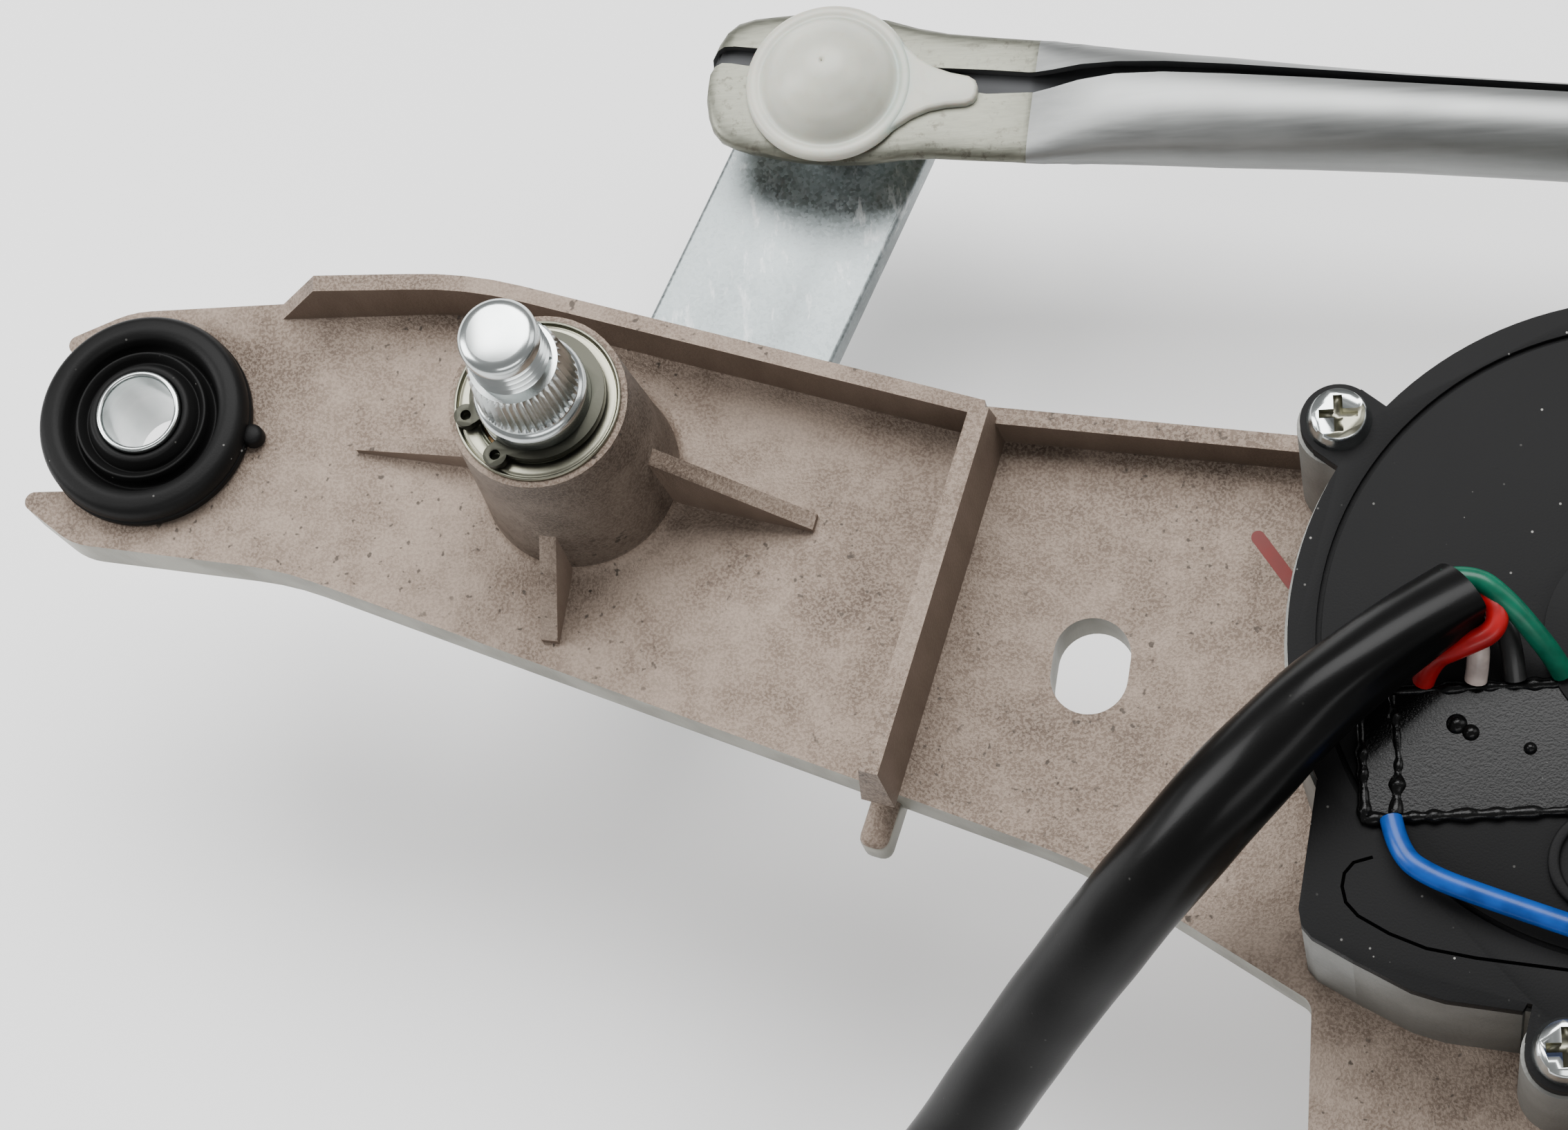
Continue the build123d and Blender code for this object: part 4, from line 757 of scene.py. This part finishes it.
casting = copy_of("frame_casting")
for vert in casting.verts:
    x, y, z = vert.co / MM
    if z > PLATE_TOP + 0.5 and x < RIB_END_X and y > RIB_END_Y:
        vert.co.x += (z - PLATE_TOP) * RIB_LEAN * MM
round_edges(casting, 0.5, segments=3)
for place in (LEFT_PIVOT, RIGHT_PIVOT):
    lathe(casting, BOSS_FOOT + BURIED_FOOT, place)
print(len(casting.faces), "faces with rounded edges and bosses")

# %% Lug at the cross rib's foot
LUG_SIZE = Vector((3.6, 8.4, 6.0)) * MM
LUG_PLACE = Vector((88.0, -51.0, 3.4)) * MM

lug = bmesh.ops.create_cube(casting, size=1.0)["verts"]
bmesh.ops.scale(casting, verts=lug, vec=LUG_SIZE)
lug_turn = Matrix.Rotation(math.radians(-18), 4, "Z")
bmesh.ops.transform(casting, verts=lug, matrix=Matrix.Translation(LUG_PLACE) @ lug_turn)
bevel(casting, list(dict.fromkeys(e for v in lug for e in v.link_edges)), 1.3, 4)

# %% Finishes of the casting's faces, with painted shade on the bosses' walls and rib sides
CASTING_FINISHES = (CAST, CAST_SIDE_SKIN_AND_SHADE, TRIMMED, SHADED_CAST_WALL)
LEVEL_SHARE = 0.45  # a face whose normal points up or down more than this counts as level
frame_look = keep(
    casting, "frame_casting_look", "frame", CASTING_FINISHES, ("frame_casting",)
)
for face in frame_look.data.polygons:
    if abs(face.normal.z) > LEVEL_SHARE:
        continue
    height = face.center.z / MM
    axes = [flat(place, face.center.z) for place in (LEFT_PIVOT, RIGHT_PIVOT)]
    if height > PLATE_TOP + 0.3:
        # A boss's wall gets painted shade.
        if min((face.center - axis).length for axis in axes) < BOSS_REACH * MM:
            face.material_index = CASTING_FINISHES.index(SHADED_CAST_WALL)
        # A rib face not turned to the lamp behind gets the darker side finish, partly painted shade.
        elif face.normal.y < 0.3:
            face.material_index = CASTING_FINISHES.index(CAST_SIDE_SKIN_AND_SHADE)
    elif height < PLATE_TOP - 0.1:
        face.material_index = CASTING_FINISHES.index(TRIMMED)

# %% [markdown]
# ## The inspector's mark
# A dab of red paint, drawn with a brush, shows where an inspector passed the casting. It is a thin
# strip with round ends, extruded up from its outline.

# %% Inspection mark
MARK_WIDTH = 1.6
MARK_FOOT, MARK_TOP = -0.02, 0.04  # from the plate's face

mark = bmesh.new()
start, end = Vector((131.9, -21.6, PLATE_TOP)) * MM, Vector((135.6, -27.4, PLATE_TOP)) * MM
along = (end - start).normalized()
across = Vector((0, 0, 1)).cross(along)
half_turn = [math.pi * i / 8 for i in range(9)]
round_end = [(along * math.sin(a) + across * math.cos(a)) * MARK_WIDTH / 2 * MM for a in half_turn]
outline = [end + p for p in round_end] + [start - p for p in round_end]
through_rings(mark, [[p + Vector((0, 0, h * MM)) for p in outline] for h in (MARK_FOOT, MARK_TOP)])
keep(mark, "inspection_mark", "frame", (MARK,))

# %% [markdown]
# ## Rubber fixings
# Each fixing is a rubber grommet pushed into an open slot, with a steel sleeve that keeps the bolt
# from crushing it. Its rings are soft ribs that let it give, and a single half section shows them
# all: an outer collar, a deep groove, a thin rim and the inner collar round the sleeve.

# %% Grommets and sleeves
GROMMET = [
    (5.25, 0.8), (9.0, 0.7), (11.6, 0.7), (12.9, 1.6), (12.9, 3.9), (8.2, 4.0), (8.2, 10.05),
    (12.7, 10.05), (13.0, 10.4), (13.0, 11.3), (12.75, 11.5), (12.9, 11.8), (12.9, 13.0),
    (12.3, 14.1), (10.6, 14.35), (9.7, 13.9), (9.2, 12.2), (8.7, 11.4), (8.2, 12.2), (8.05, 13.7),
    (7.8, 13.75), (7.3, 13.0), (6.9, 12.4), (6.5, 13.5), (6.1, 14.3), (5.6, 14.4), (5.25, 14.2),
    (5.25, 0.8),
]
BOLT_SLEEVE = [
    (4.45, 0.1), (5.1, 0.0), (5.18, 0.2), (5.18, 14.75), (4.95, 15.0), (4.6, 14.95), (4.42, 14.6),
    (4.45, 0.1),
]
NUB = [(0.0, 12.4), (1.3, 12.2), (1.4, 10.1), (0.0, 10.1)]  # the mould's gate mark on the rim
NUB_OUT = 13.3

for side in ("left", "right", "lower"):
    grommet, bolt_sleeve = f"fixing_grommet_{side}", f"fixing_sleeve_{side}"
    fixing = flat(middle(bolt_sleeve))
    rubber = bmesh.new()
    lathe(rubber, rounded(GROMMET, 0.7, 3), fixing, 128)
    nub_place = fixing + Vector((-NUB_OUT if side == "right" else NUB_OUT, -2.6, 0)) * MM
    lathe(rubber, rounded(NUB, 0.6), nub_place, 20)
    keep(rubber, f"{grommet}_look", "frame", (RUBBER,), (grommet,), 60)
    tube = bmesh.new()
    lathe(tube, rounded(BOLT_SLEEVE, 0.2, 2), fixing, 72)
    keep(tube, f"{bolt_sleeve}_look", "frame", (BRIGHT,), (bolt_sleeve,))

# %% [markdown]
# ## Spindles
# A spindle is turned from bar. Above its circlip it has a chamfered collar, a knurled cone that bites
# into the wiper arm, and a short thread for the nut. The knurl comes from a spun cone whose ridges
# are pushed in and out, tooth by tooth. The thread is a small triangle extruded along a helix, with
# its foot buried in a plain core.

# %% Spindles
KNURL_TEETH = 40
KNURL_DEPTH = 0.085  # as a share of the radius
KNURL_BELOW_TOP, THREAD_BELOW_TOP = 15.0, 8.3
THREAD_PITCH = 1.25
THREAD_TURNS = 4.2
THREAD_RIDGE = ((3.6, 0.0), (4.38, 0.52), (4.48, 0.62), (4.38, 0.72), (3.6, 1.24))


def spindle_profile(low, top):
    """The half section from the foot to the tip: (radius, height) points in millimetres."""
    return [
        (0.0, low), (5.2, low), (6.4, low + 0.4), (6.8, low + 1.2), (6.8, low + 1.8),
        (6.45, low + 1.85), (6.45, low + 5.4),
        (6.5, top - 20.0), (6.0, top - 19.9), (6.0, top - 18.8), (6.5, top - 18.7), (6.5, top - 16.6),
        (6.42, top - 16.1), (6.15, top - 15.6), (5.85, top - 15.4), (5.8, top - 15.2),
        (5.85, top - 14.9), (5.75, top - 13.2), (5.6, top - 11.2), (5.42, top - 9.2),
        (5.3, top - 8.4), (5.0, top - 8.05), (3.75, top - 7.9), (3.75, top - 3.0), (4.1, top - 2.7),
        (4.42, top - 2.35), (4.45, top - 1.1), (4.25, top - 0.6), (3.8, top - 0.22),
        (3.2, top - 0.06), (0.0, top),
    ]


def thread_rings(place, foot, steps=48):
    """The ridge's section at each step up the helix."""
    for i in range(int(THREAD_TURNS * steps) + 1):
        turn = 2 * math.pi * i / steps
        rise = foot + THREAD_PITCH * i / steps
        yield [
            flat(place) + Vector((r * math.cos(turn), r * math.sin(turn), rise + h)) * MM
            for r, h in THREAD_RIDGE
        ]


def spindle(side, place):
    low, high = (v.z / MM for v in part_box(f"spindle_{side}"))
    shape = bmesh.new()
    lathe(shape, spindle_profile(low, high), place, KNURL_TEETH * 4)
    for vert in shape.verts:
        if high - KNURL_BELOW_TOP < vert.co.z / MM < high - THREAD_BELOW_TOP:
            out = vert.co - flat(place, vert.co.z)
            tooth = 0.5 + 0.5 * math.cos(KNURL_TEETH * math.atan2(out.y, out.x))
            vert.co = flat(place, vert.co.z) + out * (1 - KNURL_DEPTH * tooth)
    through_rings(shape, list(thread_rings(place, high - THREAD_BELOW_TOP)))
    name = f"spindle_{side}"
    keep(shape, f"{name}_look", f"{side}_spindle", (BRIGHT,), (name,), 30)


spindle("left", LEFT_PIVOT)
spindle("right", RIGHT_PIVOT)

# %% [markdown]
# ## Washers and circlips
# A dished washer lies in the boss's mouth, and a spring circlip with two drilled lugs holds the
# spindle down on it. The washer is spun, and the circlip is the stamped CAD shape with its edges
# rounded, as a tumbled stamping has them.

# %% Washers, circlips and levers
CUP_PROFILE = [
    (6.85, 33.0), (9.5, 32.95), (9.54, 34.8), (9.44, 35.0), (9.22, 35.0), (9.08, 34.75), (9.0, 34.5),
    (8.7, 34.62), (8.0, 34.6), (7.3, 34.45), (7.1, 34.15), (6.85, 34.0), (6.85, 33.0),
]
for side, place in (("left", LEFT_PIVOT), ("right", RIGHT_PIVOT)):
    cup = bmesh.new()
    lathe(cup, rounded(CUP_PROFILE, 0.2, 2), place, 112)
    name = f"cup_washer_{side}"
    keep(cup, f"{name}_look", "frame", (CUP,), (name,), 50)
    softened(f"circlip_{side}", f"{side}_spindle", (SPRING,), 0.28, segments=3)
    softened(f"lever_{side}", f"{side}_spindle", (ZINC,), 0.7, segments=4)

# %% [markdown]
# ## Pressed links
# A link is strip steel rolled into a tube, so it has an open seam along its whole length. Its ends
# are pressed flat to hold the ball sockets. One ring of points, a letter C with the wall's thickness,
# is extruded from section to section, while its shape runs from a flat slot to a round tube.

# %% Sections of a link
LINK_STATIONS = (
    # distance from the ball, half width, half height, squareness, seam's place across, seam's width
    (-15.6, 3.4, 1.30, 2.4, 1.6, 2.2), (-15.1, 5.2, 1.45, 2.6, 2.8, 2.3),
    (-14.3, 6.9, 1.5, 3.0, 3.3, 2.3), (-13.0, 8.2, 1.5, 3.4, 3.4, 2.4),
    (-11.0, 9.0, 1.5, 3.5, 3.3, 2.4), (-8.8, 9.5, 1.5, 3.5, 3.2, 2.4),
    (-6.0, 9.9, 1.5, 3.5, 3.0, 2.4), (-2.0, 10.25, 1.5, 3.5, 2.6, 2.4),
    (2.0, 10.25, 1.5, 3.5, 2.4, 2.4), (6.0, 9.9, 1.5, 3.5, 2.2, 2.4),
    (10.0, 9.0, 1.5, 3.5, 2.0, 2.5), (14.0, 8.5, 1.5, 3.5, 1.9, 2.6),
    (20.0, 8.35, 1.5, 3.5, 1.9, 2.7), (25.0, 8.3, 1.5, 3.4, 1.9, 2.7),
    (25.8, 8.3, 1.75, 3.2, 1.9, 2.7), (28.0, 8.2, 2.4, 2.8, 2.2, 2.5),
    (31.5, 7.95, 3.4, 2.4, 2.9, 2.2), (36.0, 7.6, 4.3, 2.2, 3.5, 1.9),
    (42.0, 7.35, 4.9, 2.05, 3.9, 1.8), (50.0, 7.1, 5.3, 2.0, 4.0, 1.7),
    (60.0, 6.6, 5.6, 2.0, 3.95, 1.6), (72.0, 6.15, 5.9, 2.0, 3.9, 1.6),
    (85.0, 6.0, 6.0, 2.0, 3.86, 1.6),
)
PRESSED_LENGTH = 25.6  # from the ball to where the flattened end opens into the tube
LINK_WALL = 1.3


def c_section(half_width, half_height, squareness, seam_place, seam_width, count=56):
    """A rounded outline with its wall, open at the seam: (across, up) points in millimetres."""
    def outline(inset):
        wide, tall = half_width - inset, max(0.08, half_height - inset)
        for i in range(720):
            angle = math.radians(i / 2)
            c, s = math.cos(angle), math.sin(angle)
            yield (
                math.copysign(wide * abs(c) ** (2 / squareness), c),
                math.copysign(tall * abs(s) ** (2 / squareness), s),
            )

    def open_line(inset):
        line = [
            (x, y) for x, y in outline(inset) if y <= 0 or abs(x - seam_place) >= seam_width / 2
        ]
        gaps = [math.dist(line[i - 1], p) if p[1] > 0 else 0 for i, p in enumerate(line)]
        cut = gaps.index(max(gaps))
        line = line[cut:] + line[:cut]
        lengths = [0.0]
        for a, b in zip(line, line[1:]):
            lengths.append(lengths[-1] + math.dist(a, b))
        picked, j = [], 0
        for i in range(count):
            goal = lengths[-1] * i / (count - 1)
            while j < len(line) - 1 and lengths[j] < goal:
                j += 1
            picked.append(line[j])
        return picked

    return open_line(0.0) + open_line(LINK_WALL)[::-1]


# %% Links
def pressed_link(name, body, start, end, up=1):
    """A link between two balls; up is -1 where its sockets open upwards."""
    along = (end - start).normalized()
    across = Vector((0, 0, 1)).cross(along)
    span = (end - start).length / MM
    stations = list(LINK_STATIONS)
    stations.append((span / 2, *LINK_STATIONS[-1][1:]))
    stations += [(span - d, *rest) for d, *rest in reversed(LINK_STATIONS)]
    shape = bmesh.new()
    rings = []
    for distance, *section in stations:
        foot, rise = start + along * distance * MM, Vector((0, 0, up))
        rings.append([foot + (across * x + rise * z) * MM for x, z in c_section(*section)])
    through_rings(shape, rings)
    finishes = (TUBE, PRESSED, TUBE_INSIDE_SHADE)
    piece = keep(shape, f"{name}_look", body, finishes, (name,), 40)
    for face in piece.data.polygons:
        distance = (face.center - start).dot(along) / MM
        from_axis = face.center - start - along * distance * MM
        # Faces that look inwards get the painted shade of the tube's inside.
        if from_axis.dot(face.normal) < 0:
            face.material_index = finishes.index(TUBE_INSIDE_SHADE)
        elif min(distance, span - distance) < PRESSED_LENGTH:
            face.material_index = finishes.index(PRESSED)


LEFT_BALL = joint_places["connecting_link_swivel"]
RIGHT_BALL = flat(middle("ball_stud_right"), LEFT_BALL.z)
CRANK_BALL = joint_places["drive_link_swivel"]
DRIVE_BALL = flat(middle("ball_stud_drive"), CRANK_BALL.z)
pressed_link("connecting_link", "connecting_link", LEFT_BALL, RIGHT_BALL)
pressed_link("drive_link", "drive_link", CRANK_BALL, DRIVE_BALL, -1)

# %% [markdown]
# ## Ball sockets
# The nylon socket snaps into the link's eye. Seen from outside it is a dome in a soft valley, a round
# flange, and a tongue along the link that stops it turning.

# %% Sockets
SOCKET_PROFILE = [
    (0.0, 7.3), (0.0, 8.88), (2.4, 8.56), (4.7, 7.55), (6.6, 5.95), (7.8, 4.3), (8.35, 3.1),
    (8.8, 2.7), (9.6, 2.95), (10.3, 2.8), (10.66, 2.2), (10.66, 1.6), (8.8, 1.55), (8.8, -3.5),
    (6.4, -3.5), (7.1, 0.0), (6.1, 4.0), (0.0, 7.3),
]
TONGUE = [  # (along, across) points of one side
    (7.4, 7.2), (9.2, 5.5), (11.0, 4.0), (13.0, 2.9), (15.2, 2.25), (17.6, 1.9), (18.5, 1.4),
    (18.88, 0.6),
]
TONGUE_FOOT = 1.5  # above the ball's centre
TONGUE_THICKNESS = 1.2


def socket(name, body, ball, towards, away=1):
    """A socket on a ball, its tongue towards another place; away is -1 where it opens upwards."""
    shape = bmesh.new()
    lathe(shape, rounded(SOCKET_PROFILE, 0.8, 4), flat(ball), 96)
    along = (towards - ball).normalized()
    across = Vector((0, 0, 1)).cross(along)
    outline = TONGUE + [(x, -y) for x, y in reversed(TONGUE)]
    foot = flat(ball, TONGUE_FOOT * MM)
    corners = [shape.verts.new(foot + (along * x + across * y) * MM) for x, y in outline]
    tongue = shape.faces.new(corners)
    raised = bmesh.ops.extrude_face_region(shape, geom=[tongue])["geom"]
    top = [v for v in raised if isinstance(v, bmesh.types.BMVert)]
    bmesh.ops.translate(shape, verts=top, vec=(0, 0, TONGUE_THICKNESS * MM))
    bevel(shape, [e for e in raised if isinstance(e, bmesh.types.BMEdge)], 0.45, 3)
    bmesh.ops.scale(shape, verts=shape.verts, vec=(1, 1, away))
    bmesh.ops.translate(shape, verts=shape.verts, vec=(0, 0, ball.z))
    keep(shape, f"{name}_look", body, (NYLON,), (name,), 50)


socket("link_socket_left", "connecting_link", LEFT_BALL, RIGHT_BALL)
socket("link_socket_right", "connecting_link", RIGHT_BALL, LEFT_BALL)
socket("drive_socket_crank", "drive_link", CRANK_BALL, DRIVE_BALL, -1)
socket("drive_socket_lever", "drive_link", DRIVE_BALL, CRANK_BALL, -1)

# %% [markdown]
# ## Gearbox
# The black cover is moulded, with a groove round the worm wheel, a second groove round the terminal
# lobe, and a raised ring. The terminals are sealed with a compound that was squeezed on by hand, so
# its bead is lumpy and glossy: a swept line whose radius wanders with a noise.

# %% Housing
COVER_TOP = 32.0
CASE_CORNER = Vector((-35.8, -33.4))  # from the motor's axis, in millimetres
DRAWN_IN_CORNER = Vector((-33.0, -33.2))


def by_motor(offset, height=0.0):
    """A place at an offset from the motor's axis, from millimetres to metres."""
    return flat(MOTOR_AXIS) + Vector((*offset, height)) * MM


def clear_corner(shape):
    """Draws the worm case's outer corner in, so that the wall runs on smoothly from the lobe's."""
    for vert in shape.verts:
        if (((vert.co - MOTOR_AXIS) / MM).xy - CASE_CORNER).length < 0.9:
            vert.co.xy = by_motor(DRAWN_IN_CORNER).xy


housing = copy_of("gearbox_housing")
clear_corner(housing)
round_edges(housing, 0.9, segments=3)
keep(housing, "gearbox_housing_look", "frame", (HOUSING,), ("gearbox_housing",))

# %% Cover
GROOVE_ROUTE = (
    (-30.4, -22.4), (-32.4, -22.9), (-33.4, -24.0), (-33.7, -25.4), (-33.4, -27.1), (-32.2, -28.6),
    (-29.1, -30.6), (-25.4, -32.3), (-20.4, -33.5), (-11.1, -35.1), (2.0, -37.4),
)
RAISED_RING = [(5.6, 31.6), (5.6, 32.9), (4.4, 32.9), (4.4, 32.2), (0.0, 32.2)]
RING_CENTRE = [(0.0, 32.9), (1.7, 32.8), (1.9, 32.0), (0.0, 32.0)]

# The groove is not cut: a near-black bead over the cover paints its shadow.
groove_shade = bmesh.new()
bead(groove_shade, walk([by_motor(p, COVER_TOP - 0.22) / MM for p in GROOVE_ROUTE], 1.0), 0.3)
keep(groove_shade, "cover_groove_shade", "frame", (GROOVE_SHADE,))
cover = copy_of("gearbox_cover")
clear_corner(cover)
round_edges(cover, 0.35, segments=3)
ring_place = by_motor((-7.0, -24.0))
lathe(cover, rounded(RAISED_RING, 0.4), ring_place, 48)
lathe(cover, rounded(RING_CENTRE, 0.4), ring_place, 24)
keep(cover, "gearbox_cover_look", "frame", (COVER,), ("gearbox_cover",))

# %% [markdown]
# ## Screws, can and crank
# A cover screw has a domed head with a cross recess. The CAD head is a plain disc with its recess, so
# a wide bevel on its rim makes the dome of three of the four, and their recess gets a darker finish.
# The motor's can, its screws and the crank only need their edges rounded.

# %% Screws
HEAD_RIM = (3.0 * MM, 4.5 * MM)  # the rim's edges lie between these distances from the axis
RECESS_RADIUS, RECESS_DEPTH = 2.6 * MM, 0.4 * MM
DOMED_SCREWS = [by_motor(offset) for offset in ((-31.7, 26.3), (-11.9, -43.5), (29.5, 30.0))]
SCREW_FINISHES = (BRIGHT, CUP)


def from_screw(place):
    """The sideways step from the nearest domed screw's axis to a place."""
    return min((place - flat(screw, place.z) for screw in DOMED_SCREWS), key=lambda step: step.length)


screws = copy_of("cover_screws")
head_top = max(v.co.z for v in screws.verts)
rim = [
    e for e in screws.edges
    if all(
        v.co.z > head_top - 0.05 * MM and HEAD_RIM[0] < from_screw(v.co).length < HEAD_RIM[1]
        for v in e.verts
    )
]
bevel(screws, rim, 1.25, 6)
screw_look = keep(
    screws, "cover_screws_look", "frame", SCREW_FINISHES, ("cover_screws",), 50
)
for face in screw_look.data.polygons:
    if all(screw_look.data.vertices[i].co.z > COVER_TOP * MM for i in face.vertices):
        outward = from_screw(face.center)
        in_recess = outward.dot(face.normal) < 0 or face.center.z < head_top - RECESS_DEPTH
        if outward.length < RECESS_RADIUS and in_recess:
            face.material_index = SCREW_FINISHES.index(CUP)

# %% Motor screws, can and crank
softened("motor_mount_screws", "frame", (BRIGHT,), 0.4)
softened("motor_can", "frame", (CAN_PAINT,), 0.8, segments=3)
softened("crank_arm", "crank", (ZINC,), 0.6, segments=3)

# %% [markdown]
# ## Sealing compound
# Soft black compound was pressed round the terminals from a nozzle. Lumpy beads run round a flat
# panel, with a few drops on it: the beads are swept lines, and each drop is a small lathed dome.

# %% Sealing compound
PANEL_CORNERS = (
    (-31.0, -4.6), (-5.2, -4.6), (-5.2, -10.0), (-5.2, -18.4), (-31.0, -18.4), (-31.0, -4.6),
)
SECOND_BEAD = ((-27.6, -5.2), (-27.2, -12.0), (-27.8, -18.0))
DROPS = (((-21.0, -8.6), 1.1), ((-19.6, -9.6), 0.9), ((-13.6, -11.6), 0.7))  # place and radius
PANEL_SIZE = Vector((25.0, 13.4, 0.7)) * MM
PANEL_PLACE = by_motor((-18.2, -11.6), COVER_TOP + 0.3)

sealant = bmesh.new()
panel_line = walk([by_motor(p, COVER_TOP + 0.35) / MM for p in PANEL_CORNERS], 0.35)
bead(sealant, panel_line, 0.62, 0.8, 3.0, 12)
second_line = walk([by_motor(p, COVER_TOP + 0.3) / MM for p in SECOND_BEAD], 0.3)
bead(sealant, second_line, 0.75, 0.9, 8.0, 12)
for place, size in DROPS:
    dome = [(0.0, 33.4), (size * 0.7, 33.2), (size, 32.7), (size * 1.2, 32.1), (0.0, 32.0)]
    lathe(sealant, dome, by_motor(place), 20)
panel = bmesh.ops.create_cube(sealant, size=1.0)["verts"]
bmesh.ops.scale(sealant, verts=panel, vec=PANEL_SIZE)
bmesh.ops.translate(sealant, verts=panel, vec=PANEL_PLACE)
keep(
    sealant, "terminal_potting_look", "frame", (POTTING,), ("terminal_potting",), 60
)

# %% [markdown]
# ## The pieces that stay as the CAD made them
# The bearings, studs, windings and the motor's inside keep their CAD meshes. Each gets the finish
# of its material slot, and smooth shading that breaks at sharp edges.

# %% The other nodes get their materials
FINISH_OF_SLOT = {
    "cast_aluminium": CAST, "machined_steel": BRIGHT, "zinc_plate": ZINC, "tube_steel": TUBE,
    "spring_steel": SPRING, "rubber": RUBBER, "bronze": BRONZE, "nylon": NYLON,
    "cover_plastic": COVER, "potting": POTTING, "housing_cast": HOUSING, "can_steel": CAN_PAINT,
    "wheel_plastic": NYLON, "copper": COPPER, "laminated_steel": LAMINATED, "magnet": CARBON,
    "carbon": CARBON, "sleeve_vinyl": VINYL, "red_wire": RED, "green_wire": GREEN,
    "grey_wire": GREY, "black_wire": BLACK_WIRE, "blue_wire": BLUE, "connector_plastic": NYLON,
}
for entry in frame["record"]["subparts"]:
    node = nodes[entry["node"]]
    node.data.materials.clear()
    node.data.materials.append(FINISH_OF_SLOT[entry["material_slot"]])
    node.data.shade_smooth()
    node.data.set_sharp_from_angle(angle=math.radians(30))

# %% [markdown]
# ## The end
